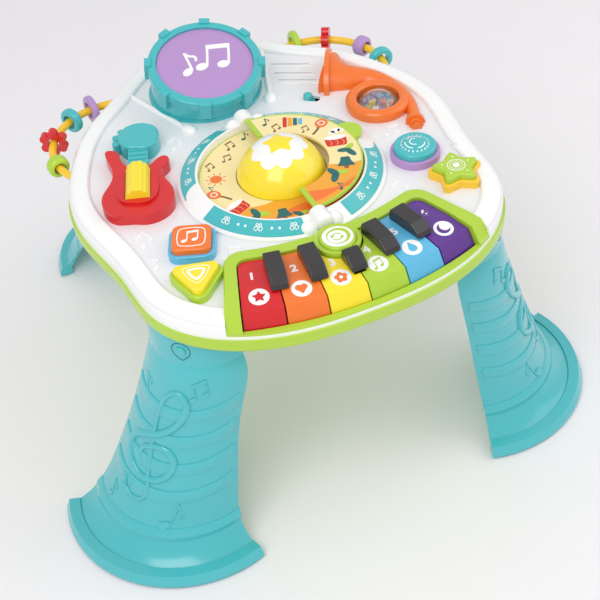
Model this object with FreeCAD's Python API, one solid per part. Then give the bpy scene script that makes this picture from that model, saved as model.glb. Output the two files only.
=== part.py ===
import FreeCAD, Part
import math
import os
from FreeCAD import Vector as V

# Musical activity table for toddlers, about 582 x 615 x 358 mm.
# A hollow play deck with a keyboard, a drum, a horn, a guitar, push buttons, a centre
# disc with a flip page and two bead wires stands on four splayed shell legs.
# Millimetres, +Z up, child's side at -Y. The deck is laid out about the centre of the
# ring; shift_to_frame moves all of it so that the origin is under the middle of the box.

os.makedirs("parts", exist_ok=True)

# Deck and casing
DECK_Z = 302.0
SHOULDER_RISE = 4.0
SHOULDER_WIDTH = 21.0
SHOULDER_RADIUS = 10.0
SHOULDER_INNER_RADIUS = 3.0
SHELL_WALL = 3.0
SHELL_DEPTH = 20.0
TRAY_DEPTH = 14.0
TRAY_LIP = 2.0
TRAY_FLOOR = 3.0
TRAY_RADIUS = 4.5
FRONT_Y = -196.0
HALF_OUTLINE = [
    (0, FRONT_Y), (42, -194.5), (84, -187), (130, -166.5), (157, -143), (174, -115), (180.5, -85), (183, -46),
    (189, -8), (195, 38), (190, 80), (178, 112), (154, 156), (130, 184), (99, 211), (74, 235), (42, 255),
    (0, 263),
]
FIT = 0.05
GAP = 0.3

# Keyboard, laid out as a fan about a vertical axis behind the ring
FAN_Y = 150.0
KEY_COUNT = 6
KEY_ANGLE = 6.6
KEY_GAP_ANGLE = 0.24
KEY_BACK_R = 268.0
KEY_CREASE_R = 305.0
KEY_FRONT_R = 338.0
KEY_NOSE = 8.0
KEY_FALL = 3.5
KEY_CORNER = 9.0
KEY_TOP = DECK_Z + 6.0
KEY_LIP_TOP = DECK_Z - 12.0
KEY_LIP_BOTTOM = DECK_Z - 18.0
KEY_WALL = 2.5
KEY_PIVOT_R = 262.0
KEY_PIVOT_Z = DECK_Z - 16.0
KEY_PIN_R = 2.2
KEY_PIN_REACH = 2.0
KEY_TAIL_HALF = 4.5
EAR_THICKNESS = 4.4
EAR_LENGTH = 10.3
BED_Z = DECK_Z - 26.5
BED_THICKNESS = 2.5
FRAME_BACK_R = 254.0
FRAME_FRONT_R = 346.0
FRAME_HALF_ANGLE = 22.3
FRAME_CORNER = 18.0
FRAME_LIP = 1.8
FRAME_BACK_GAP = 1.2
FRAME_FRONT_GAP = 1.6
FRAME_TOP = DECK_Z + 8.5
FRAME_FRONT_TOP = DECK_Z - 10.7
FRAME_INSET = 0.6
BLACK_WIDTH = 16.0
BLACK_TOP = DECK_Z + 18.0
BLACK_FRONT_R = 313.0
BLACK_BACK_R = 271.0
BLACK_STEM_WIDTH = 9.0
BLACK_STEM_LENGTH = 28.0
BLACK_CLEARANCE = 1.6
MODE_Y = -122.0
MODE_COLLAR_R = 21.3
MODE_CAP_R = 17.0
MODE_CAP_TOP = DECK_Z + 12.5
MODE_TRAVEL = 2.0
MODE_FLOOR = 13.0

# Ring, disc, centre dome and flip page
RING_OUTER_R = 100.0
RING_INNER_R = 80.0
RING_HEIGHT = 12.0
RING_EDGE = 3.0
RING_LIP = 2.0
INLAY_OUTER_R = 97.0
INLAY_INNER_R = 82.5
INLAY_RISE = 0.8
INLAY_DEPTH = 1.0
INLAY_START = 17.0
INLAY_SPAN = 70.0
DISC_THICKNESS = 4.0
DOME_R = 43.0
DOME_RISE = 35.0
DOME_WALL = 2.2
DOME_TRAVEL = 2.5
PAGE_INNER_R = 46.5
PAGE_OUTER_R = 78.5
PAGE_THICKNESS = 3.0
PAGE_AXIS_RISE = 14.6
PAGE_ROD_R = 2.4
PAGE_ROD_END = 86.0
PAGE_TAB_ANGLE = 9.0
PAGE_TAB_R = 14.0
SOCKET_R = 9.0
SOCKET_ROUNDING = 5.0

# Drum, tilted towards the child
DRUM_X = -8.0
DRUM_Y = 163.0
DRUM_HEAD_Z = DECK_Z + 39.0
DRUM_TILT = 14.0
DRUM_R = 56.0
DRUM_WALL = 3.5
HEAD_R = 49.5
HEAD_TRAVEL = 2.0
HOOP_R = 58.5
HOOP_HEIGHT = 9.0
LUG_COUNT = 8

# Horn
BELL_X, BELL_Y = 112.0, 126.0
BELL_R = 31.0
COIL_X, COIL_Y = 133.0, 56.0
COIL_R = 26.5
COIL_TUBE_R = 6.5
WINDOW_RISE = 13.0

# Guitar, with its neck along the local second axis
GUITAR_X, GUITAR_Y = -131.0, 39.0
GUITAR_ANGLE = 69.5
GUITAR_BODY = 12.0
GUITAR_HALF = [
    (0, -42), (21, -39), (33, -24), (33, -6), (25, 12), (23, 26), (30, 39), (26, 46), (17, 41), (11, 33),
]
GUITAR_LEFT = [
    (-11, 35), (-17, 46), (-24, 62), (-31, 63), (-31, 50), (-25, 30), (-26, 12), (-33, -6), (-33, -24),
    (-21, -39),
]
ROLLER_R = 11.7
ROLLER_LENGTH = 46.0
ROLLER_MIDDLE = 3.0
AXLE_R = 1.6

# Push buttons on the deck
BUTTON_TRAVEL = 2.5
SQUARE_X, SQUARE_Y, SQUARE_TURN = -115.0, -57.0, -24.0
SQUARE_SIDE = 36.0
TRIANGLE_X, TRIANGLE_Y, TRIANGLE_TURN = -129.5, -105.0, -107.0
TRIANGLE_SIDE = 40.0
ROUND_X, ROUND_Y = 124.0, -38.0
ROUND_R = 20.5
STAR_X, STAR_Y, STAR_TURN = 141.0, -87.0, 76.0
STAR_R = 22.0
BUTTON_RIM = 3.6
BASE_RISE = 8.0
CAP_RISE = 14.0

# Slide switch and sound slots
SWITCH_X, SWITCH_Y, SWITCH_TURN = 77.0, 104.0, -40.0
SWITCH_KNOB_R = 4.6
SWITCH_TRAVEL = 8.0
SLOTS = [(88, 171), (83.5, 154), (82, 140)]
SLOT_LENGTH = 40.0
SLOT_TURN = -31.0
SLOT_WIDTH = 1.8

# Bead wires and beads
WIRE_X, WIRE_Y = 111.5, 149.0
WIRE_R = 70.6
WIRE_TUBE_R = 4.0
WIRE_Z = DECK_Z - 11.0
WIRE_START, WIRE_END = -38.0, 117.0
LEFT_BEADS = {"link_ring": 83.0, "round_ring": 62.0, "flower_bead": 30.0, "band_bead": -5.0}
RIGHT_BEADS = {"link_ring": 87.0, "flower_bead": 59.0, "band_bead": 24.0, "round_ring": -3.0}

# Legs: each step down a leg is its height as a share of the tray's height, how far the
# middle of its arc has moved from the socket to the foot, and how far it has flared
FRONT_TOP = (126.0, -94.0)
FRONT_FOOT = (169.0, -66.0)
FRONT_FACING = 45.0
FRONT_HALF_SPAN = 63.5
FRONT_FOOT_R = 122.0
BACK_TOP = (72.0, 178.0)
BACK_FOOT = (78.0, 317.0)
BACK_FACING = 62.0
BACK_HALF_SPAN = 58.0
BACK_FOOT_R = 100.0
LEG_TOP_R = 52.0
LEG_WALL = 3.5
LEG_STEPS = [
    (0.88, 0.0, 0.0), (0.66, 0.23, 0.107), (0.37, 0.62, 0.257), (0.165, 0.90, 0.443), (0.11, 0.97, 0.543),
]
ANKLE_TOP, ANKLE_BOTTOM, ANKLE_PROUD = 45.0, 33.0, 1.8
FOOT_HEIGHT = 14.0
FOOT_FLARE = 0.80
FOOT_FLANGE = 15.0
PAD_HEIGHT = 2.0
TONGUE_DEPTH = 24.0
TONGUE_WALL = 3.5
CATCH_R = 5.0
CATCH_DROP = 14.0
CATCH_PROUD = 2.0

# Inside
SCREW_SPOTS = [(170, -30), (169, 62), (137, 142), (28, 245)]
SCREW_R = 1.5
BOSS_R = 5.0
BATTERY_R = 7.2
BATTERY_LENGTH = 50.0
BOX_X, BOX_Y = 66.0, 52.0
BOX_CENTRE_Y = 150.0
BOX_DEPTH = 19.0
BOX_WALL = 2.0
SPEAKER_R = 24.0
SPEAKER_SPOT = (84.0, 154.0)
BOARD = (104.0, 66.0, 1.6)
POST_R = 3.0
POST_X, POST_Y = 48.0, 28.0

SHELL_TOP = DECK_Z + SHOULDER_RISE
SHELL_BOTTOM = SHELL_TOP - SHELL_DEPTH
TRAY_BOTTOM = SHELL_BOTTOM - TRAY_DEPTH
CEILING = DECK_Z - SHELL_WALL
SCREW_END = CEILING - 5.0
BED_TOP = BED_Z + BED_THICKNESS
KEYS_HALF_ANGLE = KEY_ANGLE * KEY_COUNT / 2
FRAME_SEAT = FRAME_FRONT_TOP - FRAME_LIP
Y_CENTRE = (FRONT_Y - TRAY_LIP + BACK_FOOT[1] + BACK_FOOT_R) / 2
UP = V(0, 0, 1)
parts = {}


def turn(x, y, angle):
    """A point turned about the origin, in degrees."""
    a = math.radians(angle)
    return x * math.cos(a) - y * math.sin(a), x * math.sin(a) + y * math.cos(a)


def cylinder(r, height, x, y, z, axis=UP):
    return Part.makeCylinder(r, height, V(x, y, z), axis)


def block(dx, dy, z0, z1, x=0.0, y=0.0, angle=0.0):
    """A box centred on x, y and turned about its own middle."""
    shape = Part.makeBox(dx, dy, z1 - z0, V(-dx / 2, -dy / 2, z0))
    shape.rotate(V(0, 0, 0), UP, angle)
    shape.translate(V(x, y, 0))
    return shape


def prism(points, z0, z1):
    face = Part.Face(Part.makePolygon([V(x, y, z0) for x, y in points + points[:1]]))
    return face.extrude(V(0, 0, z1 - z0))


def spline_prism(points, z0, z1):
    curve = Part.BSplineCurve()
    curve.interpolate(Points=[V(x, y, z0) for x, y in points], PeriodicFlag=True)
    return Part.Face(Part.Wire([curve.toShape()])).extrude(V(0, 0, z1 - z0))


def edges_at(shape, z, low=-1.0, high=1e9):
    """Edges that lie flat at a height, with a length inside the limits."""
    found = []
    for edge in shape.Edges:
        box = edge.BoundBox
        flat = abs(box.ZMin - z) < 0.01 and abs(box.ZMax - z) < 0.01
        if flat and low < edge.Length < high:
            found.append(edge)
    return found


def rounded(shape, z, radius):
    return shape.makeFillet(radius, edges_at(shape, z))


def arc_band(x, y, r0, r1, start, end, z0, z1):
    """A band of a ring between two angles in degrees."""
    a, b, m = math.radians(start), math.radians(end), math.radians((start + end) / 2)
    def at(r, t):
        return V(x + r * math.cos(t), y + r * math.sin(t), z0)
    outer = Part.Arc(at(r1, a), at(r1, m), at(r1, b)).toShape()
    inner = Part.Arc(at(r0, b), at(r0, m), at(r0, a)).toShape()
    first = Part.LineSegment(at(r1, b), at(r0, b)).toShape()
    last = Part.LineSegment(at(r0, a), at(r1, a)).toShape()
    return Part.Face(Part.Wire([outer, first, inner, last])).extrude(V(0, 0, z1 - z0))


def fan_sweep(profile, middle, width):
    """A profile of radius and height swept about the fan axis."""
    start = math.radians(middle - width / 2 - 90)
    points = [V(r * math.cos(start), FAN_Y + r * math.sin(start), z) for r, z in profile]
    face = Part.Face(Part.makePolygon(points + points[:1]))
    return face.revolve(V(0, FAN_Y, 0), UP, width)


def fan_place(shape, angle, radius):
    """Turns a piece made along -Y to its own angle of the fan and moves it out."""
    shape.translate(V(0, -radius, 0))
    shape.rotate(V(0, 0, 0), UP, angle)
    shape.translate(V(0, FAN_Y, 0))
    return shape


def outline(offset):
    """Points of the casing's outline, moved out along its normals."""
    points = HALF_OUTLINE + [(-x, y) for x, y in HALF_OUTLINE[-2:0:-1]]
    curve = Part.BSplineCurve()
    curve.interpolate(Points=[V(x, y, 0) for x, y in points], PeriodicFlag=True)
    moved = []
    for x, y in points:
        tangent = curve.tangent(curve.parameter(V(x, y, 0)))[0]
        moved.append((x + offset * tangent.y, y - offset * tangent.x))
    return moved


def casing(offset, z0, z1):
    return spline_prism(outline(offset), z0, z1)


def keyboard_plan(back, front, half_angle, corner, z0, z1):
    """A sector of the fan with its two back corners rounded."""
    shape = fan_sweep([(back, z0), (front, z0), (front, z1), (back, z1)], 0, 2 * half_angle)
    corners = []
    for edge in shape.Edges:
        middle = edge.CenterOfMass
        upright = abs(edge.BoundBox.ZLength - (z1 - z0)) < 0.001
        if upright and math.hypot(middle.x, middle.y - FAN_Y) < back + 1:
            corners.append(edge)
    return shape.makeFillet(corner, corners)


def keyboard_space():
    """The sector cut out of the casing for the keyboard, with the wall in front of it kept low."""
    top = SHELL_TOP + 9
    space = keyboard_plan(FRAME_BACK_R, FRAME_FRONT_R + 30, FRAME_HALF_ANGLE, FRAME_CORNER, BED_Z, top)
    wall = casing(TRAY_LIP + 3, BED_Z - 1, FRAME_SEAT)
    wall = wall.cut(casing(-SHELL_WALL - GAP, BED_Z - 2, FRAME_SEAT + 1))
    return space.cut(wall).fuse(cylinder(MODE_COLLAR_R, top - BED_Z, 0, MODE_Y, BED_Z))


def make_drumsticks():
    """Two sticks moulded half into the deck beside the drum."""
    made = None
    for x0, y0, x1, y1 in ((-80, 203, -50, 116), (72, 211, 44, 124)):
        along = V(x1 - x0, y1 - y0, 0)
        stick = Part.makeCylinder(2.8, along.Length, V(x0, y0, DECK_Z), along)
        stick = stick.fuse(Part.makeSphere(2.8, V(x0, y0, DECK_Z)))
        knob = Part.makeSphere(1.0)
        matrix = FreeCAD.Matrix()
        matrix.scale(9.5, 7.0, 5.5)
        knob = knob.transformGeometry(matrix)
        knob.rotate(V(0, 0, 0), UP, math.degrees(math.atan2(along.y, along.x)))
        knob.translate(V(x1, y1, DECK_Z))
        stick = stick.fuse(knob)
        made = stick if made is None else made.fuse(stick)
    return made.common(block(400, 400, DECK_Z - 2, DECK_Z + 20, 0, 150))


def make_top_shell():
    shell = rounded(casing(0, SHELL_BOTTOM, SHELL_TOP), SHELL_TOP, SHOULDER_RADIUS)
    shell = shell.cut(casing(-SHOULDER_WIDTH, DECK_Z, SHELL_TOP + 1))
    inner = min(edges_at(shell, SHELL_TOP), key=lambda e: e.Length)
    shell = shell.makeFillet(SHOULDER_INNER_RADIUS, [inner])
    shell = shell.cut(casing(-SHELL_WALL, SHELL_BOTTOM - 1, CEILING))
    for x, y in SCREW_SPOTS:
        for side in (-1, 1):
            shell = shell.fuse(cylinder(BOSS_R, CEILING - SHELL_BOTTOM + 1, side * x, y, SHELL_BOTTOM))
    shell = shell.fuse(make_drumsticks())
    shell = shell.cut(keyboard_space())
    for x, y in SLOTS:
        shell = shell.cut(block(SLOT_LENGTH, SLOT_WIDTH, CEILING - 1, DECK_Z + 1, x, y, SLOT_TURN))
    shell = shell.cut(switch_slot())
    shell = shell.cut(cylinder(DOME_R + GAP, SHELL_WALL + 2, 0, 0, CEILING - 1))
    for name in ("square", "triangle", "round", "star"):
        shell = shell.cut(button_outline(name, BUTTON_RIM, DECK_Z, SHELL_TOP + 1))
        shell = shell.cut(button_outline(name, -2.0, CEILING - 1, DECK_Z + 1))
    for side in (-1, 1):
        for x, y in SCREW_SPOTS:
            pilot = cylinder(SCREW_R + 0.1, SCREW_END + 2 - SHELL_BOTTOM, side * x, y, SHELL_BOTTOM - 1)
            shell = shell.cut(pilot)
        shell = shell.cut(make_wire(side))
    for x in (-POST_X, POST_X):
        for y in (-POST_Y, POST_Y):
            post = cylinder(POST_R, CEILING - board_z() - BOARD[2] + 1, x, y, board_z() + BOARD[2])
            shell = shell.fuse(post)
    return shell


def switch_slot():
    x1, y1 = turn(SWITCH_TRAVEL, 0, SWITCH_TURN)
    r = SWITCH_KNOB_R + GAP
    slot = block(SWITCH_TRAVEL, 2 * r, CEILING - 1, DECK_Z + 1,
                 SWITCH_X + x1 / 2, SWITCH_Y + y1 / 2, SWITCH_TURN)
    for x, y in ((SWITCH_X, SWITCH_Y), (SWITCH_X + x1, SWITCH_Y + y1)):
        slot = slot.fuse(cylinder(r, SHELL_WALL + 2, x, y, CEILING - 1))
    return slot


def make_switch_knob():
    knob = cylinder(SWITCH_KNOB_R, DECK_Z + 6 - CEILING, SWITCH_X, SWITCH_Y, CEILING)
    knob = rounded(knob, DECK_Z + 6, 3.0)
    return knob.fuse(cylinder(SWITCH_KNOB_R + 2.5, 2.0, SWITCH_X, SWITCH_Y, CEILING - GAP - 2.0)).fuse(
        cylinder(SWITCH_KNOB_R, 1.0, SWITCH_X, SWITCH_Y, CEILING - 0.8))


def leg_sizes(corner):
    """Top, foot, facing, half span and foot radius of a front or back leg."""
    if corner[1] < 0:
        return FRONT_TOP, FRONT_FOOT, FRONT_FACING, FRONT_HALF_SPAN, FRONT_FOOT_R
    return BACK_TOP, BACK_FOOT, BACK_FACING, BACK_HALF_SPAN, BACK_FOOT_R


def leg_step(z):
    """The shares of shift and flare at a height, between the steps of the list."""
    above = (TRAY_BOTTOM, 0.0, 0.0)
    for height, shift, flare in LEG_STEPS + [(FOOT_HEIGHT / TRAY_BOTTOM, 1.0, FOOT_FLARE)]:
        level = height * TRAY_BOTTOM
        if z >= level:
            part = (above[0] - z) / max(above[0] - level, 1e-6)
            return above[1] + (shift - above[1]) * part, above[2] + (flare - above[2]) * part
        above = (level, shift, flare)
    return 1.0, FOOT_FLARE


def leg_centre(corner, z):
    """The centre of a leg's arc at a height, from the table's top socket to the foot."""
    top, foot = leg_sizes(corner)[:2]
    share = leg_step(z)[0]
    x = top[0] + share * (foot[0] - top[0])
    return corner[0] * x, top[1] + share * (foot[1] - top[1])


def leg_radius(corner, z):
    return LEG_TOP_R + leg_step(z)[1] * (leg_sizes(corner)[4] - LEG_TOP_R)


def leg_facing(corner):
    a = math.radians(leg_sizes(corner)[2])
    return math.degrees(math.atan2(corner[1] * math.sin(a), corner[0] * math.cos(a)))


def leg_wire(corner, r0, r1, z):
    x, y = leg_centre(corner, z)
    middle, half_span = leg_facing(corner), leg_sizes(corner)[3]
    angles = [math.radians(middle + s * half_span) for s in (-1, 0, 1)]
    outer = [V(x + r1 * math.cos(a), y + r1 * math.sin(a), z) for a in angles]
    inner = [V(x + r0 * math.cos(a), y + r0 * math.sin(a), z) for a in angles]
    return Part.Wire([
        Part.Arc(*outer).toShape(), Part.LineSegment(outer[2], inner[2]).toShape(),
        Part.Arc(*inner[::-1]).toShape(), Part.LineSegment(inner[0], outer[0]).toShape(),
    ])


def make_leg(corner):
    """A shell leg that flares to a foot flange, with a raised band round the ankle."""
    wires = [leg_wire(corner, LEG_TOP_R - LEG_WALL, LEG_TOP_R, TRAY_BOTTOM)]
    for step in LEG_STEPS:
        z = step[0] * TRAY_BOTTOM
        r = leg_radius(corner, z)
        wires.append(leg_wire(corner, r - LEG_WALL, r, z))
    r = leg_radius(corner, FOOT_HEIGHT)
    wires.append(leg_wire(corner, r - LEG_WALL - 3, r, FOOT_HEIGHT - 2))
    upper = Part.makeLoft(wires[:2], True, True)
    lower = Part.makeLoft(wires[1:], True, False)
    foot = leg_sizes(corner)[4]
    flange = Part.makeLoft([
        leg_wire(corner, foot - FOOT_FLANGE, foot - 4, FOOT_HEIGHT),
        leg_wire(corner, foot - FOOT_FLANGE, foot, PAD_HEIGHT + 3),
        leg_wire(corner, foot - FOOT_FLANGE, foot, PAD_HEIGHT),
    ], True, True)
    band = []
    for z, proud in ((ANKLE_TOP, 0.6), (ANKLE_TOP - 4, ANKLE_PROUD),
                     (ANKLE_BOTTOM + 4, ANKLE_PROUD), (ANKLE_BOTTOM, 0.6)):
        r = leg_radius(corner, z)
        band.append(leg_wire(corner, r - LEG_WALL / 2, r + proud, z))
    leg = upper.fuse(lower).fuse(flange).fuse(Part.makeLoft(band, True, True))
    return leg.cut(catch_hole(corner)).removeSplitter()


def catch_axis(corner):
    a = math.radians(leg_facing(corner))
    return V(math.cos(a), math.sin(a), 0)


def catch_point(corner, radius):
    x, y = leg_centre(corner, TRAY_BOTTOM)
    return V(x, y, TRAY_BOTTOM - CATCH_DROP) + catch_axis(corner) * radius


def catch_hole(corner):
    return Part.makeCylinder(CATCH_R + FIT, 16, catch_point(corner, LEG_TOP_R - 12), catch_axis(corner))


def make_catch(corner):
    """A sprung button on the socket that snaps through the leg's wall."""
    inner = LEG_TOP_R - LEG_WALL - TONGUE_WALL - 5 * GAP
    axis = catch_axis(corner)
    shank = Part.makeCylinder(CATCH_R, LEG_TOP_R + CATCH_PROUD - inner, catch_point(corner, inner), axis)
    rims = [e for e in shank.Edges if e.Length > 4 * CATCH_R]
    shank = shank.makeFillet(1.2, [max(rims, key=lambda e: e.CenterOfMass.dot(axis))])
    return shank.fuse(Part.makeCylinder(CATCH_R + 2, 2.5, catch_point(corner, inner - 2.5), axis))


def make_tray():
    tray = casing(TRAY_LIP, TRAY_BOTTOM, SHELL_BOTTOM)
    tray = rounded(tray, TRAY_BOTTOM, TRAY_RADIUS)
    tray = tray.cut(casing(-SHELL_WALL, TRAY_BOTTOM + TRAY_FLOOR, SHELL_BOTTOM + 1))
    for corner in CORNERS.values():
        x, y = leg_centre(corner, TRAY_BOTTOM)
        middle, half_span = leg_facing(corner), leg_sizes(corner)[3] - 4
        outer = LEG_TOP_R - LEG_WALL - 0.2
        tongue = arc_band(x, y, outer - TONGUE_WALL, outer, middle - half_span, middle + half_span,
                          TRAY_BOTTOM - TONGUE_DEPTH, TRAY_BOTTOM + 1)
        tray = tray.fuse(tongue.cut(catch_hole(corner)))
    top = TRAY_BOTTOM + BOX_DEPTH
    well = block(BOX_X + 2 * BOX_WALL, BOX_Y + 2 * BOX_WALL, TRAY_BOTTOM, top + BOX_WALL, 0, BOX_CENTRE_Y)
    tray = tray.fuse(well)
    tray = tray.cut(block(BOX_X, BOX_Y, TRAY_BOTTOM - 1, top, 0, BOX_CENTRE_Y))
    for x, y in SCREW_SPOTS:
        for side in (-1, 1):
            tray = tray.fuse(cylinder(BOSS_R, TRAY_DEPTH, side * x, y, TRAY_BOTTOM))
            tray = tray.cut(cylinder(SCREW_R + 0.1, TRAY_DEPTH + 2, side * x, y, TRAY_BOTTOM - 1))
            tray = tray.cut(cylinder(SCREW_R + 2.2, 4, side * x, y, TRAY_BOTTOM - 1))
    return tray


def make_screws():
    """Screws that hold the tray to the casing, driven from below."""
    made = []
    for x, y in SCREW_SPOTS:
        for side in (-1, 1):
            head = cylinder(SCREW_R + 2, 2, side * x, y, TRAY_BOTTOM + 1)
            shank = cylinder(SCREW_R, SCREW_END - TRAY_BOTTOM - 2.5, side * x, y, TRAY_BOTTOM + 2.5)
            made.append(head.fuse(shank))
    return Part.makeCompound(made)


def make_battery_door():
    door = block(BOX_X - 0.6, BOX_Y - 0.6, TRAY_BOTTOM, TRAY_BOTTOM + 2, 0, BOX_CENTRE_Y)
    return door.makeFillet(2.0, [e for e in door.Edges if abs(e.Vertexes[0].Z - e.Vertexes[-1].Z) > 1])


def make_batteries():
    made = []
    for row in (-1, 0, 1):
        y = BOX_CENTRE_Y + row * (2 * BATTERY_R + 1.2)
        cell = cylinder(BATTERY_R, BATTERY_LENGTH, -BATTERY_LENGTH / 2, y,
                        TRAY_BOTTOM + 2 + BATTERY_R - 0.7, V(1, 0, 0))
        tip = cylinder(2.6, 1.5, BATTERY_LENGTH / 2, y, TRAY_BOTTOM + 2 + BATTERY_R - 0.7, V(1, 0, 0))
        made.append(cell.fuse(tip))
    lift = Part.makeCompound(made)
    lift.translate(V(0, 0, 0.75))
    return lift


def make_foot_pads():
    made = []
    for corner in CORNERS.values():
        x, y = leg_centre(corner, PAD_HEIGHT)
        middle, half_span, foot = leg_facing(corner), leg_sizes(corner)[3] - 2, leg_sizes(corner)[4]
        made.append(arc_band(x, y, foot - 11, foot - 2, middle - half_span, middle + half_span,
                             0, PAD_HEIGHT))
    return Part.makeCompound(made)


def key_block(grow, middle, width):
    """The solid of a key, or with grow set, the hollow inside it."""
    w = KEY_WALL * grow
    return fan_sweep([
        (KEY_BACK_R + w, KEY_LIP_BOTTOM + 2 - grow * 3), (KEY_BACK_R + w, KEY_TOP - w * 1.2),
        (KEY_CREASE_R, KEY_TOP - w * 1.2), (KEY_FRONT_R - KEY_NOSE - w, KEY_TOP - KEY_FALL - w * 1.1),
        (KEY_FRONT_R - 0.7 - w, KEY_LIP_TOP - w * 0.3), (KEY_FRONT_R - w, KEY_LIP_BOTTOM - grow * 3),
        (KEY_CREASE_R - 3, KEY_LIP_BOTTOM - grow * 3),
    ], middle, width)


def boundary(k):
    return -KEYS_HALF_ANGLE + k * KEY_ANGLE


def stem_notch(k, extra):
    length = BLACK_STEM_LENGTH + 2 * extra
    middle = stem_middle(k)
    notch = block(BLACK_STEM_WIDTH + 2 * extra, length, BED_TOP, KEY_TOP + 1)
    return fan_place(notch, boundary(k), middle)


def stem_middle(k):
    """The centre key starts in front of the round button, so its stem stands further out."""
    return 301.5 if 2 * k == KEY_COUNT else 292.5


def make_key(i):
    middle = boundary(i) + KEY_ANGLE / 2
    width = KEY_ANGLE - KEY_GAP_ANGLE
    key = key_block(0, middle, width)
    side = math.degrees(2 * KEY_WALL / KEY_CREASE_R)
    hollow = key_block(1, middle, width - side)
    if i in (0, KEY_COUNT - 1):
        half = KEYS_HALF_ANGLE - KEY_GAP_ANGLE / 2
        low, high = KEY_LIP_BOTTOM - 5, KEY_TOP + 1
        key = key.common(keyboard_plan(KEY_BACK_R, KEY_FRONT_R + 5, half, KEY_CORNER, low, high))
        hollow = hollow.common(keyboard_plan(KEY_BACK_R + KEY_WALL, KEY_FRONT_R + 5, half - side / 2,
                                             KEY_CORNER - KEY_WALL, low, high))
    key = key.cut(hollow)
    tail_width = 2 * math.pi * KEY_PIVOT_R * KEY_ANGLE / 360 - EAR_THICKNESS - 2 * GAP - 0.4
    tail = block(tail_width, KEY_BACK_R + 3 - KEY_PIVOT_R + KEY_TAIL_HALF, KEY_PIVOT_Z - KEY_TAIL_HALF,
                 KEY_PIVOT_Z + KEY_TAIL_HALF)
    tail.translate(V(0, -(KEY_BACK_R + 3 - KEY_PIVOT_R - KEY_TAIL_HALF) / 2, 0))
    pin_length = tail_width + 2 * KEY_PIN_REACH
    tail = tail.fuse(cylinder(KEY_PIN_R, pin_length, -pin_length / 2, 0, KEY_PIVOT_Z, V(1, 0, 0)))
    key = key.fuse(fan_place(tail, middle, KEY_PIVOT_R))
    for k in (i, i + 1):
        if 0 < k < KEY_COUNT:
            key = key.cut(stem_notch(k, BLACK_CLEARANCE))
    collar = cylinder(MODE_COLLAR_R + 1.3, 40, 0, MODE_Y, KEY_PIVOT_Z + KEY_TAIL_HALF + 1.5)
    key = key.cut(collar)
    return key


def make_key_bed():
    """The plate under the keys, with an ear beside each hinge pin."""
    half = 2 * FRAME_HALF_ANGLE - 0.6
    bed = fan_sweep([(FRAME_BACK_R + 1.5, BED_Z), (FRAME_FRONT_R - 1, BED_Z),
                     (FRAME_FRONT_R - 1, BED_TOP), (FRAME_BACK_R + 1.5, BED_TOP)], 0, half)
    bed = bed.common(casing(-SHELL_WALL - GAP, BED_Z - 1, BED_TOP + 1))
    bed = bed.common(keyboard_plan(FRAME_BACK_R + 1.5, FRAME_FRONT_R + 5, FRAME_HALF_ANGLE - 0.3,
                                   FRAME_CORNER, BED_Z - 1, BED_TOP + 1))
    for k in range(KEY_COUNT + 1):
        ear = block(EAR_THICKNESS, EAR_LENGTH, BED_Z + 1, KEY_PIVOT_Z + 5)
        bed = bed.fuse(fan_place(ear, boundary(k), KEY_PIVOT_R))
    reach = KEY_PIN_REACH + GAP + 0.3
    tail_width = 2 * math.pi * KEY_PIVOT_R * KEY_ANGLE / 360 - EAR_THICKNESS - 2 * GAP - 0.4
    for i in range(KEY_COUNT):
        length = tail_width + 2 * reach
        bore = cylinder(KEY_PIN_R + FIT, length, -length / 2, 0, KEY_PIVOT_Z, V(1, 0, 0))
        bed = bed.cut(fan_place(bore, boundary(i) + KEY_ANGLE / 2, KEY_PIVOT_R))
    return bed


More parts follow.
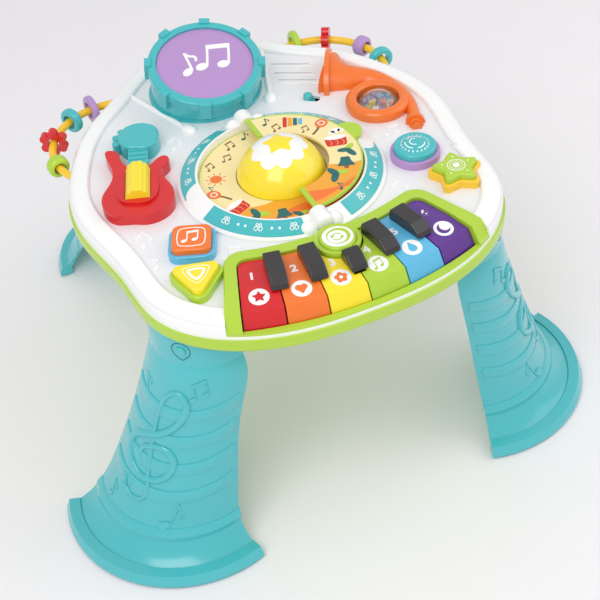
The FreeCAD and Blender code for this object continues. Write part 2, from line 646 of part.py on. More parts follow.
def make_keyboard_frame():
    """The raised rim round the keys, whose low front lip rests on the casing's front wall."""
    plan = keyboard_plan(FRAME_BACK_R, FRAME_FRONT_R + 20, FRAME_HALF_ANGLE, FRAME_CORNER, BED_TOP, FRAME_TOP)
    frame = rounded(plan, FRAME_TOP, 2.2).common(fan_sweep([
        (FRAME_BACK_R - 5, BED_TOP - 1), (FRAME_BACK_R - 5, FRAME_TOP + 1), (KEY_CREASE_R, FRAME_TOP + 1),
        (KEY_CREASE_R + 1, FRAME_TOP), (KEY_FRONT_R - 5, FRAME_TOP - 2.5),
        (KEY_FRONT_R + 3, FRAME_FRONT_TOP + 3), (FRAME_FRONT_R + 6, FRAME_FRONT_TOP - 1),
        (FRAME_FRONT_R + 6, BED_TOP - 1),
    ], 0, 2 * FRAME_HALF_ANGLE + 2))
    back, front = KEY_BACK_R - FRAME_BACK_GAP, KEY_FRONT_R + FRAME_FRONT_GAP
    half = KEYS_HALF_ANGLE + 0.1
    hole = keyboard_plan(back, front, half, KEY_CORNER + FRAME_BACK_GAP, BED_Z, FRAME_TOP + 9)
    strip = fan_sweep([(front - 1, FRAME_FRONT_TOP), (FRAME_FRONT_R + 20, FRAME_FRONT_TOP),
                       (FRAME_FRONT_R + 20, FRAME_TOP + 9), (front - 1, FRAME_TOP + 9)], 0, 2 * half)
    under = fan_sweep([(front - 1, BED_Z), (FRAME_FRONT_R + 20, BED_Z),
                       (FRAME_FRONT_R + 20, FRAME_SEAT), (front - 1, FRAME_SEAT)], 0, 2 * half)
    tails = fan_sweep([(FRAME_BACK_R + 1.5, BED_Z), (back + 14, BED_Z), (back + 14, KEY_PIVOT_Z + 7),
                       (FRAME_BACK_R + 1.5, KEY_PIVOT_Z + 7)], 0, 2 * KEYS_HALF_ANGLE + 2.0)
    frame = frame.cut(hole).cut(strip).cut(under).cut(tails)
    inside = casing(-SHELL_WALL - GAP, BED_Z, FRAME_SEAT)
    frame = frame.common(inside.fuse(casing(-FRAME_INSET, FRAME_SEAT, FRAME_TOP + 20)))
    collar = cylinder(MODE_COLLAR_R, FRAME_TOP + 1.5 - KEY_PIVOT_Z - 7, 0, MODE_Y, KEY_PIVOT_Z + 7)
    frame = frame.fuse(collar)
    well = cylinder(MODE_CAP_R + GAP, 30, 0, MODE_Y, KEY_PIVOT_Z + MODE_FLOOR)
    return frame.cut(well)


def make_mode_button():
    bottom = KEY_PIVOT_Z + MODE_FLOOR + MODE_TRAVEL + 0.4
    return rounded(cylinder(MODE_CAP_R, MODE_CAP_TOP - bottom, 0, MODE_Y, bottom), MODE_CAP_TOP, 2.5)


def make_black_keys():
    made = []
    for k in range(1, KEY_COUNT):
        short = 2 * k == KEY_COUNT
        back = KEY_BACK_R + 25.5 if short else BLACK_BACK_R
        front = BLACK_FRONT_R + (4 if short else 0)
        base = KEY_TOP + 1.0
        profile = [(back, base), (back + 1, BLACK_TOP - 2), (back + 3, BLACK_TOP),
                   (front - 12, BLACK_TOP - 1), (front - 2, BLACK_TOP - 7), (front, base)]
        face = Part.Face(Part.makePolygon([V(-BLACK_WIDTH / 2, -r, z) for r, z in profile + profile[:1]]))
        head = face.extrude(V(BLACK_WIDTH, 0, 0))
        sides = [e for e in head.Edges if e.BoundBox.XLength < 0.01 and e.BoundBox.ZMax > base + 1]
        head = head.makeFillet(1.6, sides)
        stem = block(BLACK_STEM_WIDTH, BLACK_STEM_LENGTH - (6 if short else 0), BED_TOP, base + 1)
        stem.translate(V(0, -stem_middle(k) - (1 if short else 0), 0))
        black = fan_place(head.fuse(stem), boundary(k), 0)
        made.append(black.cut(cylinder(MODE_COLLAR_R + 0.1, BLACK_TOP - BED_TOP, 0, MODE_Y, BED_TOP)))
    return Part.makeCompound(made)


def ring_slope(r):
    """Height of the ring's sloping face at a radius."""
    share = (r - RING_INNER_R - RING_LIP) / (RING_OUTER_R - RING_INNER_R - RING_LIP)
    return DECK_Z + RING_HEIGHT - share * (RING_HEIGHT - RING_EDGE)


def revolved(profile, start=0.0, span=360.0):
    """A profile of radius and height turned about the ring's middle."""
    a = math.radians(start)
    points = [V(r * math.cos(a), r * math.sin(a), z) for r, z in profile]
    return Part.Face(Part.makePolygon(points + points[:1])).revolve(V(0, 0, 0), UP, span)


def rod_socket(side, grow=0.0):
    """The rounded lump over one end of the page's rod."""
    middle = DECK_Z + 1 + SOCKET_R
    r = SOCKET_R + grow
    end = RING_OUTER_R - 1 + grow
    lump = cylinder(r, end - RING_INNER_R + 2, 0, side * (RING_INNER_R - 2), middle, V(0, side, 0))
    rim = [edge for edge in lump.Edges if abs(edge.BoundBox.Center.y - side * end) < 0.01]
    return lump.makeFillet(SOCKET_ROUNDING, rim)


def make_ring():
    ring = revolved([(RING_INNER_R, DECK_Z), (RING_OUTER_R, DECK_Z), (RING_OUTER_R, DECK_Z + RING_EDGE),
                     (RING_INNER_R + RING_LIP, DECK_Z + RING_HEIGHT), (RING_INNER_R, DECK_Z + RING_HEIGHT)])
    for inlay in inlay_bands(0):
        ring = ring.cut(inlay)
    for side in (-1, 1):
        ring = ring.fuse(rod_socket(side))
    ring = ring.cut(cylinder(RING_INNER_R, 40, 0, 0, DECK_Z - 1))
    reach = PAGE_ROD_END + GAP
    return ring.cut(cylinder(PAGE_ROD_R + FIT, 2 * reach, 0, -reach, page_z(), V(0, 1, 0)))


def page_z():
    return DECK_Z + PAGE_AXIS_RISE


def inlay_bands(rise):
    """Four sloping bands let into the ring, each with a hollow at one end."""
    inner, outer = ring_slope(INLAY_INNER_R), ring_slope(INLAY_OUTER_R)
    made = []
    for quarter in range(4):
        start = INLAY_START + 90 * quarter
        band = revolved([(INLAY_INNER_R, inner - INLAY_DEPTH), (INLAY_OUTER_R, outer - INLAY_DEPTH),
                         (INLAY_OUTER_R, outer + rise), (INLAY_INNER_R, inner + rise)], start, INLAY_SPAN)
        x, y = turn(INLAY_INNER_R + 1, 0, start + INLAY_SPAN)
        band = band.cut(cylinder(INLAY_OUTER_R - INLAY_INNER_R - 2, 40, x, y, DECK_Z - 10))
        for side in (-1, 1):
            band = band.cut(rod_socket(side, 0.1))
        made.append(band)
    return made


def make_disc():
    disc = cylinder(RING_INNER_R - 0.1, DISC_THICKNESS, 0, 0, DECK_Z)
    return disc.cut(cylinder(DOME_R + 1.0, 10, 0, 0, DECK_Z - 1))


def make_dome():
    """A pressed dome on a skirt that is caught under the deck."""
    r = (DOME_R ** 2 + DOME_RISE ** 2) / (2 * DOME_RISE)
    base = DECK_Z + DISC_THICKNESS + 1.0
    cap = Part.makeSphere(r, V(0, 0, base + DOME_RISE - r)).common(cylinder(DOME_R, 60, 0, 0, base))
    dome = cap.fuse(cylinder(DOME_R, base - CEILING + 3, 0, 0, CEILING - 3))
    inside = Part.makeSphere(r - DOME_WALL, V(0, 0, base + DOME_RISE - r)).common(
        cylinder(DOME_R - DOME_WALL, 60, 0, 0, base - 1))
    dome = dome.cut(inside).cut(cylinder(DOME_R - DOME_WALL, base - CEILING + 6, 0, 0, CEILING - 5))
    return dome.fuse(cylinder(DOME_R + 3, 2.5, 0, 0, CEILING - GAP - 2.5).cut(
        cylinder(DOME_R - DOME_WALL, 9, 0, 0, CEILING - 6)))


def make_page():
    z0 = page_z() - PAGE_THICKNESS / 2
    page = arc_band(0, 0, PAGE_INNER_R, PAGE_OUTER_R, -89.5, 89.5, z0, z0 + PAGE_THICKNESS)
    x, y = turn(PAGE_OUTER_R, 0, PAGE_TAB_ANGLE)
    tab = cylinder(PAGE_TAB_R, PAGE_THICKNESS, x, y, z0)
    page = page.fuse(tab.cut(cylinder(PAGE_OUTER_R - 2, 9, 0, 0, z0 - 1)))
    length = PAGE_ROD_END - PAGE_INNER_R
    for start in (PAGE_INNER_R, -PAGE_ROD_END):
        page = page.fuse(cylinder(PAGE_ROD_R, length, 0, start, page_z(), V(0, 1, 0)))
    return page


def drum_place(shape):
    """Tilts a piece made about the middle of the drum's head and sets it on the deck."""
    shape.rotate(V(0, 0, 0), V(1, 0, 0), DRUM_TILT)
    shape.translate(V(DRUM_X, DRUM_Y, DRUM_HEAD_Z))
    return shape


def make_drum_shell():
    depth = 90.0
    drum = cylinder(DRUM_R, depth - 3, 0, 0, -depth)
    drum = drum.fuse(rounded(cylinder(HOOP_R, HOOP_HEIGHT, 0, 0, 1 - HOOP_HEIGHT), 1.0, 2.0))
    for n in range(LUG_COUNT):
        angle = 22.5 + n * 360 / LUG_COUNT
        x, y = turn(HOOP_R - 0.5, 0, angle)
        drum = drum.fuse(block(7, 11, -17, 2.5, x, y, angle))
    drum = drum_place(drum)
    low = DRUM_Y + math.tan(math.radians(DRUM_TILT)) * (DRUM_HEAD_Z - DECK_Z)
    drum = drum.fuse(cylinder(HOOP_R + 0.5, 3.5, DRUM_X, low, DECK_Z))
    drum = drum.common(block(300, 300, DECK_Z, DECK_Z + 90, DRUM_X, DRUM_Y))
    drum = drum.cut(drum_place(cylinder(DRUM_R - DRUM_WALL, depth, 0, 0, -depth - 12)))
    return drum.cut(drum_place(cylinder(HEAD_R + GAP, 30, 0, 0, -13)))


def make_drum_head():
    r = 420.0
    head = cylinder(HEAD_R, 12, 0, 0, -9).common(Part.makeSphere(r, V(0, 0, 1.8 - r)))
    head = head.cut(cylinder(HEAD_R - 2.5, 7, 0, 0, -10))
    return drum_place(head)


def half_ellipse(x, y, heading, width, height):
    """A closed half ellipse that stands on the deck, across a heading."""
    side = V(-math.sin(math.radians(heading)), math.cos(math.radians(heading)), 0)
    middle = V(x, y, DECK_Z)
    points = []
    for n in range(9):
        a = math.pi * n / 8
        points.append(middle + side * (width * math.cos(a)) + UP * (height * math.sin(a)))
    curve = Part.BSplineCurve()
    curve.interpolate(Points=points)
    return Part.Wire([curve.toShape(), Part.LineSegment(points[-1], points[0]).toShape()])


HORN_PATH = [
    (BELL_X, BELL_Y, -48, BELL_R - 1, 25), (BELL_X + 7, BELL_Y - 8, -38, 22, 20), (129, 109, -24, 16.5, 16),
    (143, 100, -42, 12.5, 13), (154, 86, -66, 9.5, 11), (160, 68, -82, 8, 10), (161, 48, -95, 7.2, 9.5),
    (157, 28, -106, 6.6, 9), (151, 12, -110, 6.2, 8.5),
]


def make_horn():
    wires = [half_ellipse(*step) for step in HORN_PATH]
    horn = Part.makeLoft(wires, True, False)
    rim_a = half_ellipse(BELL_X - 2.4, BELL_Y + 1.6, -30, BELL_R + 2, 28)
    rim_b = half_ellipse(BELL_X + 2.0, BELL_Y - 1.2, -30, BELL_R + 2, 28)
    horn = horn.fuse(Part.makeLoft([rim_a, rim_b], True, True))
    torus = Part.makeTorus(COIL_R, COIL_TUBE_R, V(COIL_X, COIL_Y, DECK_Z + 5))
    torus = torus.fuse(cylinder(COIL_R + COIL_TUBE_R - 0.8, 5, COIL_X, COIL_Y, DECK_Z))
    torus = torus.cut(cylinder(COIL_R - COIL_TUBE_R + 1.5, 40, COIL_X, COIL_Y, DECK_Z - 9))
    horn = horn.fuse(torus)
    x, y, heading = HORN_PATH[-1][:3]
    for start, length, r in ((0, 5, 9.5), (5, 5, 7.0), (10, 4, 5.0)):
        dx, dy = turn(1, 0, heading)
        step = cylinder(r, length, x + dx * start, y + dy * start, DECK_Z + 1, V(dx, dy, 0))
        horn = horn.fuse(step)
    horn = horn.common(block(200, 300, DECK_Z, DECK_Z + 60, COIL_X, COIL_Y + 30))
    return horn.cut(cylinder(COIL_R - COIL_TUBE_R + 1.5, 40, COIL_X, COIL_Y, DECK_Z - 9))


def window_sphere(shrink):
    base_r = COIL_R - COIL_TUBE_R + 1.3
    r = (base_r ** 2 + WINDOW_RISE ** 2) / (2 * WINDOW_RISE)
    return Part.makeSphere(r - shrink, V(COIL_X, COIL_Y, DECK_Z + 2.2 + WINDOW_RISE - r))


def make_horn_window():
    r = COIL_R - COIL_TUBE_R + 1.3
    window = window_sphere(0).common(cylinder(r, 40, COIL_X, COIL_Y, DECK_Z + 2.2))
    window = window.fuse(cylinder(r, 2.2, COIL_X, COIL_Y, DECK_Z))
    inner = cylinder(r - 1.5, 40, COIL_X, COIL_Y, DECK_Z)
    return window.cut(window_sphere(1.5).common(inner)).cut(cylinder(r - 1.5, 2.2, COIL_X, COIL_Y, DECK_Z))


def make_horn_beads():
    """Loose beads under the window: six round ones and three barrels."""
    made = []
    for n in range(6):
        x, y = turn(14.0, 0, 20 + 60 * n)
        made.append(Part.makeSphere(3.2, V(COIL_X + x, COIL_Y + y, DECK_Z + 3.2)))
    for n in range(3):
        x, y = turn(6.2, 0, 50 + 120 * n)
        made.append(rounded(cylinder(4.2, 8, COIL_X + x, COIL_Y + y, DECK_Z), DECK_Z + 8, 1.2))
    return Part.makeCompound(made)


def guitar_place(shape):
    shape.rotate(V(0, 0, 0), UP, GUITAR_ANGLE - 90)
    shape.translate(V(GUITAR_X, GUITAR_Y, 0))
    return shape


def make_guitar_body():
    body = spline_prism(GUITAR_HALF + GUITAR_LEFT, DECK_Z, DECK_Z + GUITAR_BODY)
    panel = spline_prism([(0, -27), (15, -22), (20, -4), (16, 18), (0, 31), (-16, 18), (-20, -4), (-15, -22)],
                         DECK_Z + GUITAR_BODY - 1, DECK_Z + GUITAR_BODY + 2.5)
    body = body.fuse(panel)
    half = ROLLER_LENGTH / 2 + GAP
    pocket = Part.makeBox(2 * ROLLER_R + 1, 2 * half, 40, V(-ROLLER_R - 0.5, ROLLER_MIDDLE - half, DECK_Z))
    body = body.cut(pocket)
    body = body.cut(roller_rod(AXLE_R, 4))
    return guitar_place(body)


def roller_rod(r, reach):
    half = ROLLER_LENGTH / 2 + reach
    return cylinder(r, 2 * half, 0, ROLLER_MIDDLE - half, roller_z(), V(0, 1, 0))


def roller_z():
    return DECK_Z + ROLLER_R + 0.5


def make_roller():
    half = ROLLER_LENGTH / 2
    roller = cylinder(ROLLER_R, ROLLER_LENGTH, 0, ROLLER_MIDDLE - half, roller_z(), V(0, 1, 0))
    for n in range(10):
        x, z = turn(ROLLER_R + 1.2, 0, 18 + 36 * n)
        groove = cylinder(2.2, ROLLER_LENGTH + 2, x, ROLLER_MIDDLE - half - 1, roller_z() + z, V(0, 1, 0))
        roller = roller.cut(groove)
    return guitar_place(roller.cut(roller_rod(AXLE_R + FIT, 2)))


def make_guitar_neck():
    neck = Part.makeBox(19, 30, 14, V(-9.5, 34.5, DECK_Z))
    for y in (41, 48, 55):
        neck = neck.fuse(Part.makeBox(17, 1.6, 15.2, V(-8.5, y, DECK_Z)))
    head = spline_prism([(0, 58), (14, 61), (20, 74), (18, 90), (6, 99), (-8, 98), (-18, 88), (-19, 72),
                         (-12, 61)], DECK_Z, DECK_Z + 17)
    head = rounded(head, DECK_Z + 17, 3.0)
    neck = neck.fuse(head)
    for x, y in ((-17, 93), (-22, 84), (-22, 74)):
        neck = neck.fuse(cylinder(4.2, 12, x, y, DECK_Z))
    body = spline_prism(GUITAR_HALF + GUITAR_LEFT, DECK_Z - 1, DECK_Z + GUITAR_BODY + 1)
    return guitar_place(neck.cut(body))


def polygon_star(r, waist):
    points = []
    for n in range(10):
        points.append(turn(r if n % 2 == 0 else r * waist, 0, 36 * n))
    return points


def button_outline(name, grow, z0, z1):
    """The plan shape of a button, grown by a margin and rounded at its corners."""
    if name == "round":
        return cylinder(ROUND_R + grow, z1 - z0, ROUND_X, ROUND_Y, z0)
    if name == "square":
        half = SQUARE_SIDE / 2 + grow
        shape = prism([(-half, -half), (half, -half), (half, half), (-half, half)], z0, z1)
        x, y, angle = SQUARE_X, SQUARE_Y, SQUARE_TURN
        corner = 7.0 + grow
    elif name == "triangle":
        r = TRIANGLE_SIDE / math.sqrt(3) + 5.5 + 2 * grow
        shape = prism([turn(r, 0, 120 * n) for n in range(3)], z0, z1)
        x, y, angle = TRIANGLE_X, TRIANGLE_Y, TRIANGLE_TURN
        corner = 6.0 + grow
    else:
        shape = prism(polygon_star(STAR_R + 3 + 1.6 * grow, 0.56), z0, z1)
        x, y, angle = STAR_X, STAR_Y, STAR_TURN
        corner = 3.2 + grow * 0.4
    upright = [e for e in shape.Edges if abs(e.Vertexes[0].Z - e.Vertexes[-1].Z) > 0.5]
    shape = shape.makeFillet(max(corner, 1.0), upright)
    shape.rotate(V(0, 0, 0), UP, angle)
    shape.translate(V(x, y, 0))
    return shape


def make_button_base(name):
    base = button_outline(name, BUTTON_RIM, DECK_Z, DECK_Z + BASE_RISE)
    base = rounded(base, DECK_Z + BASE_RISE, 1.4)
    base = base.cut(button_outline(name, GAP, DECK_Z - 1, DECK_Z + 30))
    return base


def make_button_cap(name):
    """A cap on a plunger that reaches through the deck and is caught under it."""
    top = DECK_Z + CAP_RISE
    cap = rounded(button_outline(name, 0, DECK_Z + BUTTON_TRAVEL + GAP, top), top, 2.2)
    if name == "round":
        r = 30.0
        dome = Part.makeSphere(r, V(ROUND_X, ROUND_Y, top + 3.5 - r))
        cap = cap.fuse(dome.common(cylinder(ROUND_R - 1.5, 30, ROUND_X, ROUND_Y, top - 6)))
    plunger = button_outline(name, -2.0 - GAP, CEILING - 3.5, DECK_Z + 4)
    cap = cap.fuse(plunger)
    flange = button_outline(name, -0.3, CEILING - GAP - 3.0, CEILING - GAP)
    return cap.fuse(flange)


def board_z():
    return DECK_Z - 20.0


def make_board():
    board = block(BOARD[0], BOARD[1], board_z(), board_z() + BOARD[2])
    chip = block(16, 16, board_z() - 2.5, board_z(), 14, 6)
    jack = block(10, 8, board_z() - 6, board_z(), -36, -8)
    return board.fuse(chip).fuse(jack)


def make_speaker():
    x, y = SPEAKER_SPOT
    cone = cylinder(SPEAKER_R, 4, x, y, CEILING - 4)
    return cone.fuse(cylinder(SPEAKER_R * 0.55, 9, x, y, CEILING - 13))


def wire_point(side, angle):
    a = math.radians(angle)
    return V(side * (WIRE_X + WIRE_R * math.cos(a)), WIRE_Y + WIRE_R * math.sin(a), WIRE_Z)


def wire_tangent(side, angle):
    a = math.radians(angle)
    return V(-side * math.sin(a), math.cos(a), 0)


def make_wire(side):
    """A plastic tube bent to an arc, both ends pushed into the casing's wall."""
    face = Part.Face(Part.Wire(Part.makeCircle(
        WIRE_TUBE_R, wire_point(side, WIRE_START), wire_tangent(side, WIRE_START))))
    return face.revolve(V(side * WIRE_X, WIRE_Y, 0), UP * side, WIRE_END - WIRE_START)


def bead_ring(outer, bore, length, sides):
    """A bead about the Z axis at the origin; sides sets its plan shape."""
    if sides == 0:
        ring = cylinder(outer, length, 0, 0, -length / 2)
        rims = [e for e in ring.Edges if e.Length > outer * 5 and len(e.Vertexes) < 2]
        ring = ring.makeFillet(length * 0.32, rims)
    else:
        petals = [turn(outer * 0.72, 0, 360 * n / sides) for n in range(sides)]
        ring = cylinder(outer * 0.72, length, 0, 0, -length / 2)
        for x, y in petals:
            ring = ring.fuse(cylinder(outer * 0.34, length, x, y, -length / 2))
    return ring.cut(cylinder(bore, length + 2, 0, 0, -length / 2 - 1))


BEADS = {
    "link_ring": (15.0, 9.0, 7.0, 0),
    "round_ring": (13.0, 7.6, 9.0, 0),
    "flower_bead": (14.0, 6.2, 8.0, 6),
    "band_bead": (11.0, 6.4, 13.0, 0),
}


def make_bead(side, kind, angle):
    bead = bead_ring(*BEADS[kind])
    tangent = wire_tangent(side, angle)
    bead.rotate(V(0, 0, 0), V(0, 1, 0), 90)
    bead.rotate(V(0, 0, 0), UP, math.degrees(math.atan2(tangent.y, tangent.x)))
    bead.translate(wire_point(side, angle))
    return bead


CORNERS = {
    "leg_front_left": (-1, -1), "leg_front_right": (1, -1),
    "leg_back_left": (-1, 1), "leg_back_right": (1, 1),
}


def shift_to_frame(shape):
    moved = shape.copy()
    moved.translate(V(0, -Y_CENTRE, 0))
    return moved


def build():
    parts["top_shell"] = make_top_shell()
    parts["lower_tray"] = make_tray()
    for name, corner in CORNERS.items():
        parts[name] = make_leg(corner)
        parts[name.replace("leg_", "catch_")] = make_catch(corner)
    parts["foot_pads"] = make_foot_pads()
    parts["case_screws"] = make_screws()
    parts["battery_door"] = make_battery_door()
    parts["batteries"] = make_batteries()
    parts["circuit_board"] = make_board()
    parts["speaker"] = make_speaker()
    parts["keyboard_frame"] = make_keyboard_frame()
    parts["key_bed"] = make_key_bed()
    for i in range(KEY_COUNT):
        parts["key_%d" % (i + 1)] = make_key(i)
    parts["black_keys"] = make_black_keys()
    parts["mode_button"] = make_mode_button()
    parts["ring_base"] = make_ring()
    parts["ring_inlays"] = Part.makeCompound(inlay_bands(INLAY_RISE))
    parts["disc_plate"] = make_disc()
    parts["centre_dome"] = make_dome()
    parts["flip_page"] = make_page()
    parts["drum_shell"] = make_drum_shell()
    parts["drum_head"] = make_drum_head()
    parts["horn_body"] = make_horn()
    parts["horn_window"] = make_horn_window()
    parts["horn_beads"] = make_horn_beads()
    parts["guitar_body"] = make_guitar_body()
    parts["guitar_neck"] = make_guitar_neck()
    parts["guitar_roller"] = make_roller()
    parts["roller_axle"] = guitar_place(roller_rod(AXLE_R, 4))
    for name in ("square", "triangle", "round", "star"):
        parts[name + "_base"] = make_button_base(name)
        parts[name + "_button"] = make_button_cap(name)
    parts["switch_knob"] = make_switch_knob()
    for side, word, beads in ((-1, "left", LEFT_BEADS), (1, "right", RIGHT_BEADS)):
        parts["wire_" + word] = make_wire(side)
        for kind, angle in beads.items():
            parts["%s_%s" % (kind, word)] = make_bead(side, kind, angle)


build()
for bare in ("horn_body", "drum_shell", "guitar_neck", "guitar_body"):
    parts["top_shell"] = parts["top_shell"].cut(parts[bare])
for name, shape in parts.items():
    shift_to_frame(shape).exportStep("parts/%s.step" % name)
    state = "valid" if shape.isValid() else "INVALID"
    print(name, len(shape.Solids), state, round(shape.Volume / 1000.0, 2), "cm3")
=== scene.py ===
import math

import bmesh
import bpy
from bpy.props import FloatProperty, FloatVectorProperty, IntProperty, PointerProperty
from mathutils import Matrix, Vector
from mathutils.bvhtree import BVHTree


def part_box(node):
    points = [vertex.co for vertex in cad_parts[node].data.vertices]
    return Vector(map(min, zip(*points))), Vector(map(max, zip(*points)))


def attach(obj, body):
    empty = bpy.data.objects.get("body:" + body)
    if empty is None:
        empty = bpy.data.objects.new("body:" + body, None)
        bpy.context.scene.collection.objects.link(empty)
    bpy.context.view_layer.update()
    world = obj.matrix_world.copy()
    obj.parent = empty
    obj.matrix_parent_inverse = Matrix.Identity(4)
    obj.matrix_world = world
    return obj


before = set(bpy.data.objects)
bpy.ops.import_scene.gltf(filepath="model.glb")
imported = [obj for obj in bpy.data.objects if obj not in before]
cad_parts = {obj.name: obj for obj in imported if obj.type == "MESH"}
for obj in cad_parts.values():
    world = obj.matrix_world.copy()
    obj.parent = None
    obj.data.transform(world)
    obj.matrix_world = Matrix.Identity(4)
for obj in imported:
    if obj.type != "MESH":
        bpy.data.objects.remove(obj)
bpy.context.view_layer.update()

bl_info = {
    "name": "Musical Activity Table",
    "version": (1, 0, 0),
    "blender": (4, 5, 0),
    "location": "3D View > Sidebar > Activity Table",
    "description": "Dresses the activity table's solids with its relief, prints, plastics and studio",
    "category": "Object",
}

MM = 0.001

# Places repeated from the solids: metres from the frame, plain millimetres from the ring's middle.
RING_LOW, RING_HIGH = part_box("ring_base")
MIDDLE_Y = (RING_LOW.y + RING_HIGH.y) / 2
DECK_Z = RING_LOW.z
CAP_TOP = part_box("square_button")[1].z
FAN_Y = 150.0
KEY_ANGLE = 6.6

# A leg's top centre, foot centre, facing angle and how far its bands reach each side of it, in degrees.
FRONT_LEG = ((126.0, -94.0), (169.0, -66.0), 45.0, 58.0)
BACK_LEG = ((72.0, 178.0), (78.0, 317.0), 62.0, 52.0)
LEG_TOP_Z = 272.0

# Height on a leg, and the share of the way from top centre to foot centre reached there.
LEG_SHIFT = ((272.0, 0.0), (239.4, 0.0), (179.5, 0.23), (100.6, 0.62), (44.9, 0.90), (29.9, 0.97), (0.0, 1.0))

# Prints and trim, in metres.
PAGE_HALF = 0.0015
PAGE_RIM_R, DISC_RIM_R, ROD_HALF = 0.0768, 0.0788, 0.0027
PATCH_R = 0.0240
SNAP_R, SNAP_Z = 0.0092, 0.258

# Angle past a rod socket, radius, half width and rise of each white lobe, in degrees and millimetres.
LOBES = ((7.5, 90.6, 9.5, 13.5), (-8.5, 90.6, 10.5, 11.5))

# The clef as (across, height, thickness) about its own middle.
CLEF_PATH = [
    (-20, -54, 1.7), (-27, -58, 1.5), (-21, -66, 0.9), (-8, -70, 0.8), (3, -66, 0.8), (6, -54, 0.8),
    (3, -39, 0.8), (0, -12, 0.8), (-1, 10, 0.8), (-1, 29, 0.8), (1, 45, 0.9), (7, 62, 0.8),
    (18, 70, 0.9), (28, 61, 1.1), (29, 46, 1.3), (21, 29, 1.3), (7, 16, 1.3), (-12, 7, 1.3),
    (-25, -1, 1.3), (-31, -13, 1.3), (-27, -28, 1.2), (-14, -39, 1.1), (2, -42, 1.1), (18, -37, 1.2),
    (28, -24, 1.3), (25, -9, 1.2), (12, -1, 1.1), (-3, -4, 1.0), (-12, -11, 0.9), (-14, -21, 0.8),
    (-7, -29, 0.7),
]


def linear(r, g, b):
    """A colour written as 0 to 255 in the display's scale, as the shader reads it."""
    out = []
    for v in (r, g, b):
        v = v / 255
        out.append(v / 12.92 if v <= 0.04045 else ((v + 0.055) / 1.055) ** 2.4)
    return tuple(out)


def colour(name, text, r, g, b):
    return FloatVectorProperty(name=name, description=text, subtype="COLOR", size=3, min=0, max=1,
                               default=linear(r, g, b))


def length(name, text, value):
    return FloatProperty(name=name, description=text, default=value, min=0, unit="LENGTH", subtype="DISTANCE",
                         precision=5)


class TableColours(bpy.types.PropertyGroup):
    white: colour("Casing white", "The casing's shoulder, the ring and the white prints", 246, 246, 246)
    # Painted shade: the deck's flat is the same white plastic as the shoulder, and this darker, cooler grey
    # stands in for the shade that falls on it.
    deck: colour("Deck painted shade", "The flat of the deck inside the shoulder", 236, 236, 239)
    leg: colour("Leg teal", "The four legs and their snap buttons", 74, 186, 194)
    teal: colour("Deck teal", "The drum body, the ring's bands and the guitar's neck", 66, 184, 190)
    lime: colour("Lime", "The tray, the keyboard's rim, key four and the page's rim", 176, 210, 56)
    red: colour("Red", "Key one, the guitar and the red beads", 214, 20, 27)
    orange: colour("Orange", "Key two, the horn and the square button", 241, 118, 38)
    yellow: colour("Yellow", "Key three, the dome and the roller", 250, 226, 42)
    sky: colour("Sky blue", "Key five and the square button's collar", 92, 184, 226)
    violet: colour("Violet", "Key six", 92, 42, 142)
    lilac: colour("Lilac", "The drum head, the round collar and the purple beads", 182, 144, 202)
    charcoal: colour("Charcoal", "The five short keys", 44, 41, 44)
    wire: colour("Wire yellow", "The two bead wires and the star's collar", 250, 200, 40)
    cream: colour("Card cream", "The printed ground of the disc and the page", 246, 228, 168)
    amber: colour("Card amber", "The printed hills of the disc and the page", 240, 166, 44)
    brown: colour("Card brown", "Small brown shapes in the print", 138, 94, 58)
    pine: colour("Card pine", "Small dark green shapes in the print", 22, 104, 104)
    floor: colour("Floor", "The pale floor and backdrop", 243, 240, 243)


class TableSizes(bpy.types.PropertyGroup):
    clef_stroke: length("Clef stroke", "Width of the raised clef's stroke on a leg", 0.0068)
    clef_blob: length("Clef tail", "Half the width of the round end of the clef's tail", 0.0078)
    clef_proud: length("Clef proud", "How far the clef stands off a leg", 0.0028)
    band_width: length("Stave band width", "Height of each raised stave band on a leg", 0.0145)
    band_proud: length("Stave band proud", "How far a stave band stands off a leg", 0.0011)
    band_pitch: length("Stave band pitch", "Distance between two stave bands down a leg", 0.0335)
    deck_note: length("Deck note proud", "How far the notes stand off the deck", 0.0009)
    print_proud: length("Print thickness", "Thickness of the printed shapes", 0.00022)
    outline: length("Print line", "Width of a printed line", 0.0011)


class StudioSettings(bpy.types.PropertyGroup):
    azimuth: FloatProperty(name="Camera bearing", description="Direction from the table to the camera",
                           default=math.radians(-111.2), subtype="ANGLE", unit="ROTATION")
    height: FloatProperty(name="Camera height angle", description="Angle of the camera above the floor",
                          default=math.radians(42.4), subtype="ANGLE", unit="ROTATION")
    roll: FloatProperty(name="Camera roll", description="Turn of the camera about its view",
                        default=math.radians(-5.9), subtype="ANGLE", unit="ROTATION")
    distance: length("Camera distance", "From the point looked at to the camera", 1.358)
    lens: FloatProperty(name="Lens", description="Focal length on a 36 mm sensor", default=84.0, min=10)
    key_light: FloatProperty(name="Key light", description="Power of the large soft lamp", default=15.0, min=0)
    fill_light: FloatProperty(name="Fill light", description="Power of the fill lamp", default=6.0, min=0)
    sky_light: FloatProperty(name="Surround", description="Strength of the even surround", default=0.72, min=0)
    steps: IntProperty(name="Curve steps", description="Steps between two points of a raised line",
                       default=6, min=2, max=24)


def sizes():
    return bpy.context.scene.table_sizes


def shades():
    return bpy.context.scene.table_colours


def deck_point(x, y, z=DECK_Z):
    """A point laid out from the ring's middle in millimetres, in the table's frame."""
    return Vector((x * MM, y * MM + MIDDLE_Y, z))


def fan_point(angle, radius, z):
    a = math.radians(angle - 90)
    return deck_point(radius * math.cos(a), FAN_Y + radius * math.sin(a), z)


# Materials

def socket_values(shader, **values):
    for name, value in values.items():
        shader.inputs[name.replace("_", " ")].default_value = value


